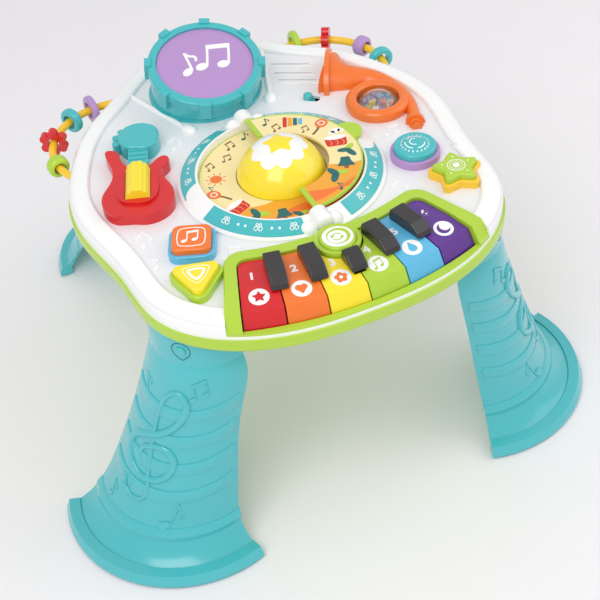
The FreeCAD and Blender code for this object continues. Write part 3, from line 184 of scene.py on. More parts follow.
def plastic(name, tint, rough=0.3, coat=0.35, mottling=0.03, grain=0.015, clear=0.0):
    """Moulded plastic: faint mottling, a fine grain in the gloss and a thin coat."""
    name = "finish_" + name
    found = bpy.data.materials.get(name)
    if found:
        return found
    made = bpy.data.materials.new(name)
    made.use_nodes = True
    tree = made.node_tree
    shader = tree.nodes["Principled BSDF"]
    place = tree.nodes.new("ShaderNodeTexCoord")
    turn = tree.nodes.new("ShaderNodeMapping")
    tree.links.new(place.outputs["Object"], turn.inputs["Vector"])
    cloud = tree.nodes.new("ShaderNodeTexNoise")
    cloud.inputs["Scale"].default_value = 14.0
    cloud.inputs["Detail"].default_value = 2.0
    tree.links.new(turn.outputs["Vector"], cloud.inputs["Vector"])
    mix = tree.nodes.new("ShaderNodeMix")
    mix.data_type = "RGBA"
    mix.inputs["A"].default_value = (*[c * (1 - mottling) for c in tint], 1)
    mix.inputs["B"].default_value = (*[min(1, c * (1 + mottling)) for c in tint], 1)
    tree.links.new(cloud.outputs["Fac"], mix.inputs["Factor"])
    tree.links.new(mix.outputs["Result"], shader.inputs["Base Color"])
    grit = tree.nodes.new("ShaderNodeTexNoise")
    grit.inputs["Scale"].default_value = 620.0
    grit.inputs["Detail"].default_value = 3.0
    tree.links.new(turn.outputs["Vector"], grit.inputs["Vector"])
    spread = tree.nodes.new("ShaderNodeMapRange")
    spread.inputs["To Min"].default_value = rough - 0.04
    spread.inputs["To Max"].default_value = rough + 0.05
    tree.links.new(grit.outputs["Fac"], spread.inputs["Value"])
    tree.links.new(spread.outputs["Result"], shader.inputs["Roughness"])
    bump = tree.nodes.new("ShaderNodeBump")
    bump.inputs["Strength"].default_value = grain
    bump.inputs["Distance"].default_value = 0.0004
    tree.links.new(grit.outputs["Fac"], bump.inputs["Height"])
    tree.links.new(bump.outputs["Normal"], shader.inputs["Normal"])
    socket_values(shader, Coat_Weight=coat, Coat_Roughness=0.12, IOR=1.49)
    if clear:
        socket_values(shader, Transmission_Weight=clear, Roughness=0.05)
    return made


def add_math(tree, kind, a, b=None):
    """A Math node fed by sockets or plain numbers."""
    node = tree.nodes.new("ShaderNodeMath")
    node.operation = kind
    for socket, value in zip(node.inputs, (a, b)):
        if value is None:
            continue
        if isinstance(value, (int, float)):
            socket.default_value = value
        else:
            tree.links.new(value, socket)
    return node.outputs[0]


def local_axes(tree, x, y, z=0.0):
    """Object coordinates moved to a centre, as separate X, Y and Z sockets."""
    place = tree.nodes.new("ShaderNodeTexCoord")
    shift = tree.nodes.new("ShaderNodeMapping")
    shift.inputs["Location"].default_value = (-x, -y, -z)
    tree.links.new(place.outputs["Object"], shift.inputs["Vector"])
    split = tree.nodes.new("ShaderNodeSeparateXYZ")
    tree.links.new(shift.outputs["Vector"], split.inputs["Vector"])
    return split.outputs


def paint_over(tree, mask, tint):
    """Lays a flat colour over the material's own colour where the mask is 1."""
    shader = tree.nodes["Principled BSDF"]
    under = shader.inputs["Base Color"].links[0].from_socket
    mix = tree.nodes.new("ShaderNodeMix")
    mix.data_type = "RGBA"
    tree.links.new(mask, mix.inputs["Factor"])
    tree.links.new(under, mix.inputs["A"])
    mix.inputs["B"].default_value = (*tint, 1)
    tree.links.new(mix.outputs["Result"], shader.inputs["Base Color"])


def both(tree, a, b):
    return add_math(tree, "MULTIPLY", a, b)


def radius_of(tree, x, y):
    return add_math(tree, "SQRT", add_math(tree, "ADD", both(tree, x, x), both(tree, y, y)))


def casing_white_with_painted_shade():
    """White above the deck's level, and a cooler grey on its flat that is painted shade on the same white
    plastic.
    """
    c = shades()
    made = plastic("casing_white_and_painted_shade", tuple(c.white), rough=0.26, coat=0.4, mottling=0.015)
    tree = made.node_tree
    z = local_axes(tree, 0, 0)[2]
    # Painted shade: the band at the deck's level gets the darker deck grey laid over the casing's white.
    flat = both(tree, add_math(tree, "LESS_THAN", z, DECK_Z + 0.0006),
                add_math(tree, "GREATER_THAN", z, DECK_Z - 0.002))
    paint_over(tree, flat, tuple(c.deck))
    return made


def dome_plastic():
    """Yellow, with a wavy white patch printed round the crown."""
    c = shades()
    if bpy.data.materials.get("finish_dome_yellow"):
        return bpy.data.materials["finish_dome_yellow"]
    made = plastic("dome_yellow", tuple(c.yellow), rough=0.2, coat=0.6, mottling=0.03)
    tree = made.node_tree
    x, y = local_axes(tree, 0, MIDDLE_Y)[:2]
    away = radius_of(tree, x, y)
    round_ = add_math(tree, "ARCTAN2", y, x)
    wave = add_math(tree, "ABSOLUTE", add_math(tree, "SINE", add_math(tree, "MULTIPLY", round_, 4.5)))
    slow = add_math(tree, "SINE", add_math(tree, "MULTIPLY", round_, 2.0))
    edge = add_math(tree, "ADD", add_math(tree, "MULTIPLY", wave, 0.0042),
                    add_math(tree, "MULTIPLY", slow, 0.0014))
    edge = add_math(tree, "ADD", edge, PATCH_R)
    paint_over(tree, add_math(tree, "LESS_THAN", away, edge), tuple(c.white))
    return made


def card_print(name, page):
    """Printed card: cream sky over amber and brown hills; the page has a lime rim and pins."""
    c = shades()
    made = plastic(name, tuple(c.cream), rough=0.34, coat=0.3, mottling=0.03)
    tree = made.node_tree
    x, y = local_axes(tree, 0, MIDDLE_Y)[:2]
    hills = ((-0.030, 0.007, 62.0, 0.4, c.amber), (-0.057, 0.004, 88.0, 2.1, c.orange),
             (-0.068, 0.003, 110.0, 4.0, c.amber))
    for start, height, wave, shift, tint in hills:
        crest = add_math(tree, "SINE", add_math(tree, "ADD", add_math(tree, "MULTIPLY", x, wave), shift))
        line = add_math(tree, "ADD", add_math(tree, "MULTIPLY", crest, height), start)
        paint_over(tree, add_math(tree, "LESS_THAN", y, line), tuple(tint))
    rim = PAGE_RIM_R if page else DISC_RIM_R
    paint_over(tree, add_math(tree, "GREATER_THAN", radius_of(tree, x, y), rim), tuple(c.lime))
    if page:
        rod = add_math(tree, "LESS_THAN", add_math(tree, "ABSOLUTE", x), ROD_HALF)
        paint_over(tree, rod, tuple(c.lime))
    return made


def bead_mix():
    """Loose beads in several colours, by their place round the window's middle."""
    c = shades()
    made = plastic("loose_beads", tuple(c.lilac), rough=0.22, coat=0.5)
    tree = made.node_tree
    low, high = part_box("horn_beads")
    x, y = local_axes(tree, (low.x + high.x) / 2, (low.y + high.y) / 2)[:2]
    turn = add_math(tree, "ARCTAN2", y, x)
    for n, tint in enumerate((c.yellow, c.orange, c.sky, c.violet)):
        start = -3.14 + 1.57 * n
        inside = both(tree, add_math(tree, "GREATER_THAN", turn, start),
                      add_math(tree, "LESS_THAN", turn, start + 0.9))
        paint_over(tree, inside, tuple(tint))
    return made


def steel():
    made = plastic("screw_steel", linear(170, 170, 172), rough=0.32, coat=0.0)
    socket_values(made.node_tree.nodes["Principled BSDF"], Metallic=1.0)
    return made


def rubber():
    return plastic("pad_rubber", linear(74, 74, 78), rough=0.75, coat=0.0, grain=0.2)


def plain_tones():
    """The one-colour plastics, by the words used for them in the list of nodes."""
    c = shades()
    tones = {
        "leg": plastic("leg_teal", tuple(c.leg), rough=0.24, coat=0.45),
        "dome": dome_plastic(),
        "teal": plastic("deck_teal", tuple(c.teal), rough=0.26),
        "lime": plastic("lime_gloss", tuple(c.lime)),
        "red": plastic("red_gloss", tuple(c.red)),
        "orange": plastic("orange_gloss", tuple(c.orange)),
        "yellow": plastic("yellow_gloss", tuple(c.yellow)),
        "sky": plastic("sky_gloss", tuple(c.sky)),
        "violet": plastic("violet_gloss", tuple(c.violet)),
        "lilac": plastic("lilac_satin", tuple(c.lilac), rough=0.36, coat=0.2),
        "charcoal": plastic("charcoal_gloss", tuple(c.charcoal), rough=0.34),
        "wire": plastic("wire_yellow", tuple(c.wire)),
        "ink_white": plastic("print_white", tuple(c.white), rough=0.4, coat=0.1, mottling=0.01),
        "amber": plastic("print_amber", tuple(c.amber), rough=0.4, coat=0.1),
        "brown": plastic("print_brown", tuple(c.brown), rough=0.4, coat=0.1),
        "pine": plastic("print_pine", tuple(c.pine), rough=0.4, coat=0.1),
        "relief_white": plastic("relief_white", tuple(c.white), rough=0.26, coat=0.4, mottling=0.015),
        "seam": plastic("leg_seam", tuple(v * 0.35 for v in c.leg), rough=0.5, coat=0.0),
        "cell": plastic("cell_dark", linear(58, 61, 64), rough=0.4),
        "board": plastic("board_green", linear(47, 107, 62), rough=0.45),
        "black": plastic("speaker_black", linear(42, 42, 44), rough=0.6, coat=0.0),
        "bed": plastic("bed_grey", linear(185, 187, 189), rough=0.4, coat=0.1),
    }
    return tones


NODE_TONES = {
    "lower_tray": "lime", "battery_door": "lime", "circuit_board": "board", "speaker": "black",
    "batteries": "cell", "keyboard_frame": "lime", "key_bed": "bed", "key_1": "red", "key_2": "orange",
    "key_3": "yellow", "key_4": "lime", "key_5": "sky", "key_6": "violet", "black_keys": "charcoal",
    "mode_button": "lime", "ring_base": "relief_white", "ring_inlays": "teal", "drum_shell": "teal",
    "drum_head": "lilac", "horn_body": "orange", "guitar_body": "red", "guitar_neck": "teal",
    "guitar_roller": "yellow", "square_base": "sky", "square_button": "orange", "triangle_base": "lime",
    "triangle_button": "yellow", "round_base": "lilac", "round_button": "teal", "star_base": "wire",
    "star_button": "lime", "switch_knob": "teal", "wire_left": "wire", "wire_right": "wire",
    "link_ring_left": "lilac", "round_ring_left": "teal", "flower_bead_left": "red", "band_bead_left": "lime",
    "link_ring_right": "lime", "flower_bead_right": "red", "band_bead_right": "lilac",
    "round_ring_right": "teal",
}


def finish_nodes():
    tones = plain_tones()
    special = {
        "top_shell": casing_white_with_painted_shade(), "centre_dome": tones["dome"],
        "disc_plate": card_print("disc_card", False),
        "flip_page": card_print("page_card", True), "horn_beads": bead_mix(), "foot_pads": rubber(),
        "case_screws": steel(), "roller_axle": steel(),
        "horn_window": plastic("clear_window", (0.95, 0.97, 0.98), rough=0.05, coat=0.0, clear=0.95),
    }
    for name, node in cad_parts.items():
        if name in special:
            finish = special[name]
        elif name.startswith(("leg_", "catch_")):
            finish = tones["leg"]
        else:
            finish = tones[NODE_TONES[name]]
        for slot in node.material_slots:
            slot.material = finish
        if not node.material_slots:
            node.data.materials.append(finish)


# Shapes

class Piece:
    """A piece put together from parts, each with its own plastic."""

    def __init__(self, name):
        self.name = name
        self.mesh = bmesh.new()
        self.tones = []

    def put(self, part, tone, matrix=None):
        if matrix is not None:
            bmesh.ops.transform(part, matrix=matrix, verts=part.verts)
        if tone not in self.tones:
            self.tones.append(tone)
        for face in part.faces:
            face.material_index = self.tones.index(tone)
            face.smooth = True
        data = bpy.data.meshes.new("part")
        part.to_mesh(data)
        part.free()
        self.mesh.from_mesh(data)
        bpy.data.meshes.remove(data)

    def finish(self, body, slot, angle=40):
        bmesh.ops.recalc_face_normals(self.mesh, faces=self.mesh.faces)
        data = bpy.data.meshes.new(self.name)
        self.mesh.to_mesh(data)
        self.mesh.free()
        tones = plain_tones()
        for tone in self.tones:
            data.materials.append(tones[tone])
        data.set_sharp_from_angle(angle=math.radians(angle))
        made = bpy.data.objects.new(self.name, data)
        bpy.context.scene.collection.objects.link(made)
        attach(made, body)
        return made


def raise_up(part, height):
    """Gives a flat part its thickness."""
    grown = bmesh.ops.extrude_face_region(part, geom=part.faces[:])
    tops = [v for v in grown["geom"] if isinstance(v, bmesh.types.BMVert)]
    bmesh.ops.translate(part, vec=(0, 0, height), verts=tops)
    return part


def place_at(x, y, angle=0.0, scale=1.0):
    turned = Matrix.Rotation(math.radians(angle), 4, "Z")
    return Matrix.Translation((x, y, 0)) @ turned @ Matrix.Scale(scale, 4)


def round_plate(x, y, rx, ry, height, angle=0.0, steps=28):
    part = bmesh.new()
    bmesh.ops.create_circle(part, cap_ends=True, cap_tris=False, segments=steps, radius=1.0)
    bmesh.ops.scale(part, vec=(rx, ry, 1), verts=part.verts)
    bmesh.ops.transform(part, matrix=place_at(x, y, angle), verts=part.verts)
    return raise_up(part, height)


def hoop(x, y, outer, inner, height, steps=40):
    part = bmesh.new()
    rims = []
    for r in (outer, inner):
        rims += bmesh.ops.create_circle(part, cap_ends=False, segments=steps, radius=r)["verts"]
    edges = list({e for v in rims for e in v.link_edges})
    bmesh.ops.bridge_loops(part, edges=edges)
    bmesh.ops.translate(part, vec=(x, y, 0), verts=part.verts)
    return raise_up(part, height)


def cornered(points, height, corner=0.0, segments=3):
    """A flat plate on a few corner points, its corners rounded."""
    part = bmesh.new()
    face = part.faces.new([part.verts.new((x, y, 0)) for x, y in points])
    if corner:
        bmesh.ops.bevel(part, geom=face.verts[:], offset=corner, offset_type="OFFSET", segments=segments,
                        profile=0.5, affect="VERTICES", material=-1)
    return raise_up(part, height)


def stroke(points, width, proud, closed=False, widths=None):
    """A smooth line of round section, flattened to stand off its plane."""
    path = bpy.data.curves.new("stroke", "CURVE")
    path.dimensions = "3D"
    path.bevel_depth = width / 2
    path.bevel_resolution = 3
    path.use_fill_caps = not closed
    path.resolution_u = bpy.context.scene.studio_settings.steps
    line = path.splines.new("BEZIER")
    line.bezier_points.add(len(points) - 1)
    for n, (knot, point) in enumerate(zip(line.bezier_points, points)):
        knot.co = (point[0], point[1], 0)
        knot.handle_left_type = knot.handle_right_type = "AUTO"
        knot.radius = widths[n] if widths else 1.0
    line.use_cyclic_u = closed
    holder = bpy.data.objects.new("stroke", path)
    bpy.context.scene.collection.objects.link(holder)
    bpy.context.view_layer.update()
    drawn = bpy.data.meshes.new_from_object(holder.evaluated_get(bpy.context.evaluated_depsgraph_get()))
    part = bmesh.new()
    part.from_mesh(drawn)
    bpy.data.objects.remove(holder)
    bpy.data.curves.remove(path)
    bpy.data.meshes.remove(drawn)
    bmesh.ops.remove_doubles(part, verts=part.verts, dist=1e-6)
    bmesh.ops.scale(part, vec=(1, 1, proud / (width / 2)), verts=part.verts)
    return part


def numeral(text, size, height):
    letter = bpy.data.curves.new("numeral", "FONT")
    letter.body = text
    letter.size = size
    letter.align_x, letter.align_y = "CENTER", "CENTER"
    letter.extrude = height / 2
    letter.offset = size * 0.035
    holder = bpy.data.objects.new("numeral", letter)
    bpy.context.scene.collection.objects.link(holder)
    bpy.context.view_layer.update()
    drawn = bpy.data.meshes.new_from_object(holder.evaluated_get(bpy.context.evaluated_depsgraph_get()))
    part = bmesh.new()
    part.from_mesh(drawn)
    bpy.data.objects.remove(holder)
    bpy.data.curves.remove(letter)
    bpy.data.meshes.remove(drawn)
    bmesh.ops.remove_doubles(part, verts=part.verts, dist=1e-7)
    bmesh.ops.translate(part, vec=(0, 0, height / 2), verts=part.verts)
    return part


def quaver(piece, tone, matrix, size, height, raised=False):
    """A single note: an oval head, a stem and a flag."""
    s = size
    proud = height if raised else height * 1.2
    piece.put(round_plate(-0.16 * s, -0.36 * s, 0.2 * s, 0.14 * s, height, 25), tone, matrix)
    piece.put(stroke([(0.01 * s, -0.33 * s), (0.02 * s, 0.1 * s), (0.02 * s, 0.5 * s)], 0.09 * s, proud),
              tone, matrix)
    piece.put(stroke([(0.02 * s, 0.48 * s), (0.14 * s, 0.3 * s), (0.3 * s, 0.2 * s), (0.27 * s, 0.0)],
                     0.1 * s, proud), tone, matrix)


def beamed_pair(piece, tone, matrix, size, height, raised=False):
    s = size
    proud = height if raised else height * 1.2
    for x, y in ((-0.42, -0.42), (0.22, -0.3)):
        piece.put(round_plate(x * s, y * s, 0.19 * s, 0.13 * s, height, 25), tone, matrix)
        piece.put(stroke([((x + 0.16) * s, (y + 0.04) * s), ((x + 0.17) * s, (y + 0.45) * s),
                          ((x + 0.17) * s, (y + 0.82) * s)], 0.08 * s, proud), tone, matrix)
    beam = [(-0.29, 0.28), (0.43, 0.4), (0.43, 0.58), (-0.29, 0.46)]
    piece.put(cornered([(x * s, y * s) for x, y in beam], height), tone, matrix)


def star_plate(r, waist, height, corner):
    points = []
    for n in range(10):
        a = math.radians(90 + 36 * n)
        out = r if n % 2 == 0 else r * waist
        points.append((out * math.cos(a), out * math.sin(a)))
    return cornered(points, height, corner)


def surface_of(name):
    """The tree used to find a node's surface."""
    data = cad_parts[name].data
    return BVHTree.FromPolygons([v.co for v in data.vertices], [p.vertices for p in data.polygons])


def drape(piece, tree, level):
    """Lowers a flat piece drawn at a level onto what lies under it."""
    found, missed = [], []
    for vert in piece.mesh.verts:
        hit = tree.ray_cast(Vector((vert.co.x, vert.co.y, DECK_Z + 0.12)), Vector((0, 0, -1)))[0]
        if hit is None:
            missed.append(vert)
        else:
            found.append(hit.z)
            vert.co.z += hit.z - level
    middle = sorted(found)[len(found) // 2]
    for vert in missed:
        vert.co.z += middle - level


def on_deck(x, y, angle=0.0, level=DECK_Z):
    return Matrix.Translation(deck_point(x, y, level)) @ Matrix.Rotation(math.radians(angle), 4, "Z")


# Legs

def leg_axis(corner, z):
    top, foot, facing = (FRONT_LEG if corner[1] < 0 else BACK_LEG)[:3]
    for (high, before), (low, after) in zip(LEG_SHIFT, LEG_SHIFT[1:]):
        if z >= low:
            share = before + (after - before) * (high - z) / (high - low)
            break
    x = corner[0] * (top[0] + share * (foot[0] - top[0]))
    a = math.radians(facing)
    bearing = math.atan2(corner[1] * math.sin(a), corner[0] * math.cos(a))
    return deck_point(x, top[1] + share * (foot[1] - top[1]), z * MM), bearing


def wrap_on_leg(part, corner, tree, by_angle=False):
    """Wraps a part drawn as (across, height, proud) onto a leg's outer face."""
    side = corner[0] * corner[1]
    for vert in part.verts:
        z = vert.co.y / MM
        origin, bearing = leg_axis(corner, z)
        if by_angle:
            turn = math.radians(vert.co.x / MM)
        else:
            turn = vert.co.x / ((52 + (LEG_TOP_Z - z) / 227 * 31) * MM)
        ray = Vector((math.cos(bearing + side * turn), math.sin(bearing + side * turn), 0))
        hit, normal = tree.ray_cast(origin + ray * 0.15, -ray)[:2]
        if hit is None:
            raise RuntimeError("The relief runs off the leg's face")
        if normal.dot(ray) < 0:
            normal = -normal
        vert.co = hit + normal * vert.co.z
    return part


def stave_band(width, proud, low, reach, steps=44):
    """A raised strip right across a leg, drawn flat with its edges bevelled."""
    part = bmesh.new()
    bmesh.ops.create_grid(part, x_segments=steps, y_segments=1, size=0.5)
    bmesh.ops.scale(part, vec=(2 * reach * MM, width, 1), verts=part.verts)
    bmesh.ops.translate(part, vec=(0, 0, -0.0012), verts=part.verts)
    grown = bmesh.ops.extrude_face_region(part, geom=part.faces[:])
    tops = [v for v in grown["geom"] if isinstance(v, bmesh.types.BMVert)]
    bmesh.ops.translate(part, vec=(0, 0, 0.0012 + proud), verts=tops)
    rims = [edge for edge in part.edges if all(v in tops for v in edge.verts)
            and abs(edge.verts[0].co.y - edge.verts[1].co.y) < 1e-7]
    bmesh.ops.bevel(part, geom=rims, offset=proud * 0.7, offset_type="OFFSET", segments=2, profile=0.5,
                    affect="EDGES", material=-1)
    for vert in part.verts:
        across = vert.co.x / (reach * MM)
        vert.co.y += low + 0.011 * across * across
    return part


def leg_relief(name, corner):
    s = sizes()
    tree = surface_of("leg_" + name)
    reach = (FRONT_LEG if corner[1] < 0 else BACK_LEG)[3]
    bands = Piece("stave_bands_" + name)
    for n in range(4):
        part = stave_band(s.band_width, s.band_proud, 0.1815 - n * s.band_pitch, reach)
        bands.put(wrap_on_leg(part, corner, tree, by_angle=True), "leg")
    bands.finish("table", "leg_teal")
    clef = Piece("clef_relief_" + name)
    points = [((x - 20) * MM, (y + 138) * MM) for x, y, w in CLEF_PATH]
    part = stroke(points, s.clef_stroke, s.clef_proud, widths=[w for x, y, w in CLEF_PATH])
    clef.put(wrap_on_leg(part, corner, tree), "leg")
    part = bmesh.new()
    bmesh.ops.create_uvsphere(part, u_segments=24, v_segments=12, radius=1.0)
    bmesh.ops.scale(part, vec=(s.clef_blob, s.clef_blob * 0.9, s.clef_proud * 1.2), verts=part.verts)
    bmesh.ops.translate(part, vec=(-0.0405, 0.0835, 0), verts=part.verts)
    clef.put(wrap_on_leg(part, corner, tree), "leg")
    clef.finish("table", "leg_teal", 60)
    notes = Piece("note_relief_" + name)
    drawn = Piece("drawn")
    quaver(drawn, "leg", place_at(-0.043, 0.200, 15), 0.024, 0.0012, True)
    beamed_pair(drawn, "leg", place_at(0.020, 0.214, 20), 0.020, 0.0012, True)
    quaver(drawn, "leg", place_at(0.020, 0.058, -12), 0.030, 0.0012, True)
    quaver(drawn, "leg", place_at(-0.060, 0.058, 8), 0.020, 0.0012, True)
    bmesh.ops.subdivide_edges(drawn.mesh, edges=drawn.mesh.edges[:], cuts=1)
    notes.put(wrap_on_leg(drawn.mesh, corner, tree), "leg")
    notes.finish("table", "leg_teal", 60)
    snap = Piece("snap_outline_" + name)
    line = []
    for n in range(12):
        a = math.radians(30 * n)
        drop = 0.0018 if n == 9 else 0
        line.append((SNAP_R * math.cos(a), SNAP_Z + SNAP_R * math.sin(a) - drop))
    snap.put(wrap_on_leg(stroke(line, 0.0011, 0.0004, closed=True), corner, tree), "seam")
    snap.finish("table", "leg_teal", 60)


# Deck, ring, disc and page

def deck_notes():
    piece = Piece("deck_notes")
    spots = [(-71, 102, 20, 1), (-150, -23, 24, 1), (-153, -60, 12, 0), (-85, -82, -24, 1), (125, 10, -14, 1),
             (163, -41, 18, 0), (88, -75, 24, 1)]
    for x, y, angle, pair in spots:
        draw = beamed_pair if pair else quaver
        draw(piece, "relief_white", on_deck(x, y, angle), 0.017, sizes().deck_note, True)
    drape(piece, surface_of("top_shell"), DECK_Z)
    piece.finish("table", "shell_white", 60)


def sound_waves():
    """Raised wavy ridges beside the sound slots."""
    piece = Piece("sound_waves")
    for n, (x, y) in enumerate(((90, 164), (86, 147), (83, 133))):
        points = [((k - 2.5) * 0.0075, 0.0016 * math.sin(k * 1.9 + n)) for k in range(6)]
        piece.put(stroke(points, 0.0016, 0.0009), "relief_white", on_deck(x, y, -31))
    drape(piece, surface_of("top_shell"), DECK_Z)
    piece.finish("table", "shell_white", 60)


def socket_lobes():
    """White lobes that carry each rounded rod socket down onto the ring's slope."""
    piece = Piece("socket_lobes")
    for middle in (-90, 90):
        for shift, out, across, rise in LOBES:
            part = bmesh.new()
            bmesh.ops.create_uvsphere(part, u_segments=40, v_segments=20, radius=1.0)
            bmesh.ops.scale(part, vec=(9.4 * MM, across * MM, rise * MM), verts=part.verts)
            a = math.radians(middle + shift)
            spot = deck_point(out * math.cos(a), out * math.sin(a))
            piece.put(part, "relief_white", Matrix.Translation(spot) @ Matrix.Rotation(a, 4, "Z"))
    piece.finish("table", "shell_white", 180)


def ring_motifs():
    """White outlined loops and dots along the four teal bands."""
    s = sizes()
    level = DECK_Z + 0.05
    piece = Piece("ring_motifs")
    for quarter in range(4):
        start = 17 + 90 * quarter
        for step in (14, 35, 56):
            a = math.radians(start + step)
            spot = Matrix.Translation(deck_point(89.7 * math.cos(a), 89.7 * math.sin(a), level)) @ \
                Matrix.Rotation(a - math.pi / 2, 4, "Z")
            for x, y, r in ((-2.1, 0.9, 2.1), (2.1, 0.9, 2.1), (-1.5, -2.4, 1.5), (1.5, -2.4, 1.5)):
                loop = hoop(x * MM, y * MM, r * MM, (r - 0.65) * MM, s.print_proud, 20)
                piece.put(loop, "ink_white", spot)
        for step in (22.5, 27, 43, 47.5):
            a = math.radians(start + step)
            spot = Matrix.Translation(deck_point(89.7 * math.cos(a), 89.7 * math.sin(a), level))
            piece.put(round_plate(0, 0, 0.0012, 0.0012, s.print_proud, steps=16), "ink_white", spot)
    drape(piece, surface_of("ring_inlays"), level)
    piece.finish("table", "shell_white", 30)


def card_motifs(name, body, slot, level, spots, flip=False):
    """Small printed toys, notes and leaves at (radius, bearing) places on the card."""
    h = sizes().print_proud
    piece = Piece(name)
    for kind, radius, bearing, turn, size in spots:
        a = math.radians(bearing)
        spot = Matrix.Translation(deck_point(radius * math.cos(a), radius * math.sin(a), level)) @ \
            Matrix.Rotation(math.radians(turn), 4, "Z") @ Matrix.Scale(size, 4)
        if kind == "note":
            beamed_pair(piece, "brown", spot, 0.011, h)
        elif kind == "quaver":
            quaver(piece, "pine", spot, 0.012, h)
        elif kind == "drum":
            shell = [(-0.008, -0.006), (0.008, -0.006), (0.009, 0.005), (-0.009, 0.005)]
            piece.put(cornered(shell, h, 0.002), "red", spot)
            piece.put(round_plate(0, 0.0052, 0.009, 0.003, h * 1.5), "ink_white", spot)
            for x in (-5, 0, 5):
                cord = [(x * MM, 0.002), ((x + 1.2) * MM, -0.002), (x * MM, -0.005)]
                piece.put(stroke(cord, 0.0009, h * 1.6), "amber", spot)
        elif kind == "maraca":
            piece.put(stroke([(0, -0.012), (0.0006, -0.004), (0, 0.002)], 0.0024, h * 1.2), "brown", spot)
            piece.put(round_plate(0, 0.0062, 0.0056, 0.0066, h * 1.4), "orange", spot)
            piece.put(hoop(0, 0.0062, 0.0034, 0.0024, h * 1.8, 20), "ink_white", spot)
        elif kind == "bars":
            for n, tone in enumerate(("red", "amber", "pine", "sky")):
                w = 0.0075 - n * 0.001
                x = (n - 1.5) * 0.0046
                bar = [(x - 0.0018, -w), (x + 0.0018, -w), (x + 0.0018, w), (x - 0.0018, w)]
                piece.put(cornered(bar, h, 0.0008), tone, spot)
        elif kind == "leaf":
            piece.put(round_plate(-0.004, 0, 0.0072, 0.0032, h, 35), "pine", spot)
            piece.put(round_plate(0.004, 0.001, 0.0064, 0.003, h * 1.5, -40), "lime", spot)
            piece.put(round_plate(0, 0.006, 0.003, 0.0066, h * 2, 0), "pine", spot)
        elif kind == "sun":
            piece.put(round_plate(0, 0, 0.0058, 0.0058, h * 1.3), "orange", spot)
            for n in range(9):
                ray = math.radians(40 * n)
                line = [(r * math.cos(ray), r * math.sin(ray)) for r in (0.0072, 0.0086, 0.0100)]
                piece.put(stroke(line, 0.0012, h), "orange", spot)
        elif kind == "cloud":
            for x, y, r in ((-0.006, 0, 0.0044), (0, 0.002, 0.006), (0.0062, 0, 0.0042)):
                piece.put(round_plate(x, y, r, r * 0.8, h), "ink_white", spot)
        elif kind == "bell":
            piece.put(cornered([(-0.008, -0.006), (0.008, -0.006), (0.0045, 0.001), (0.004, 0.0065),
                                (-0.004, 0.0065), (-0.0045, 0.001)], h, 0.0016), "pine", spot)
            piece.put(round_plate(0, -0.0076, 0.0022, 0.0022, h), "brown", spot)
    if flip:
        bmesh.ops.scale(piece.mesh, vec=(1, 1, -1), verts=piece.mesh.verts,
                        space=Matrix.Translation((0, 0, -level)))
    piece.finish(body, slot, 30)


def print_disc_and_page():
    disc_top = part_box("disc_plate")[1].z
    left = [("note", 70, 112, 10, 1.0), ("note", 60, 128, -8, 0.9), ("quaver", 72, 96, -12, 1.0),
            ("note", 71, 143, 14, 0.9), ("sun", 63, 160, 0, 1.0), ("maraca", 66, 184, 40, 1.05),
            ("drum", 64, 207, 24, 1.15), ("leaf", 68, 228, 10, 1.1), ("bell", 62, 247, -10, 1.0),
            ("quaver", 70, 172, 12, 0.8), ("leaf", 69, 262, 40, 0.8)]
    right = [("cloud", 64, 70, 0, 1.0), ("bars", 64, 44, -20, 1.0), ("drum", 62, 16, -8, 1.0),
             ("leaf", 66, -8, 60, 1.0), ("note", 63, -30, 8, 1.0), ("maraca", 64, -52, -30, 1.0)]
    card_motifs("disc_prints", "table", "page_cream", disc_top, left + right)
    low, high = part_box("flip_page")
    axis = (low.z + high.z) / 2
    top, under = axis + PAGE_HALF, axis - PAGE_HALF
    page = [("quaver", 68, 78, -10, 1.0), ("note", 56, 70, 8, 0.9), ("bars", 65, 55, -24, 1.1),
            ("note", 56, 40, 0, 0.8), ("maraca", 64, 30, -50, 1.1), ("drum", 60, 2, -16, 1.2),
            ("leaf", 68, -14, 70, 1.0), ("bell", 62, -30, -20, 1.1), ("leaf", 60, -50, 20, 1.1),
            ("quaver", 70, -62, 10, 0.9), ("cloud", 69, 14, 0, 0.8)]
    card_motifs("page_prints_top", "flip_page_body", "page_cream", top, page)
    back = [("sun", 64, 62, 0, 1.1), ("cloud", 66, 30, 0, 1.1), ("bars", 63, 0, -90, 1.1),
            ("leaf", 64, -30, 40, 1.2), ("note", 64, -58, 180, 1.0)]
    card_motifs("page_prints_under", "flip_page_body", "page_cream", under, back, flip=True)


def print_dome():
    """A rounded star in the middle of the dome's white patch, laid on its crown."""
    h = sizes().print_proud
    piece = Piece("dome_star")
    level = DECK_Z + 0.05
    part = star_plate(0.0165, 0.58, h * 2, 0.0022)
    bmesh.ops.poke(part, faces=[f for f in part.faces if len(f.verts) > 8])
    bmesh.ops.subdivide_edges(part, edges=part.edges[:], cuts=3, use_grid_fill=True)
    piece.put(part, "yellow", on_deck(0, 0, -14, level))
    drape(piece, surface_of("centre_dome"), level)
    piece.finish("centre_dome_body", "yellow_plastic", 60)


# Keyboard

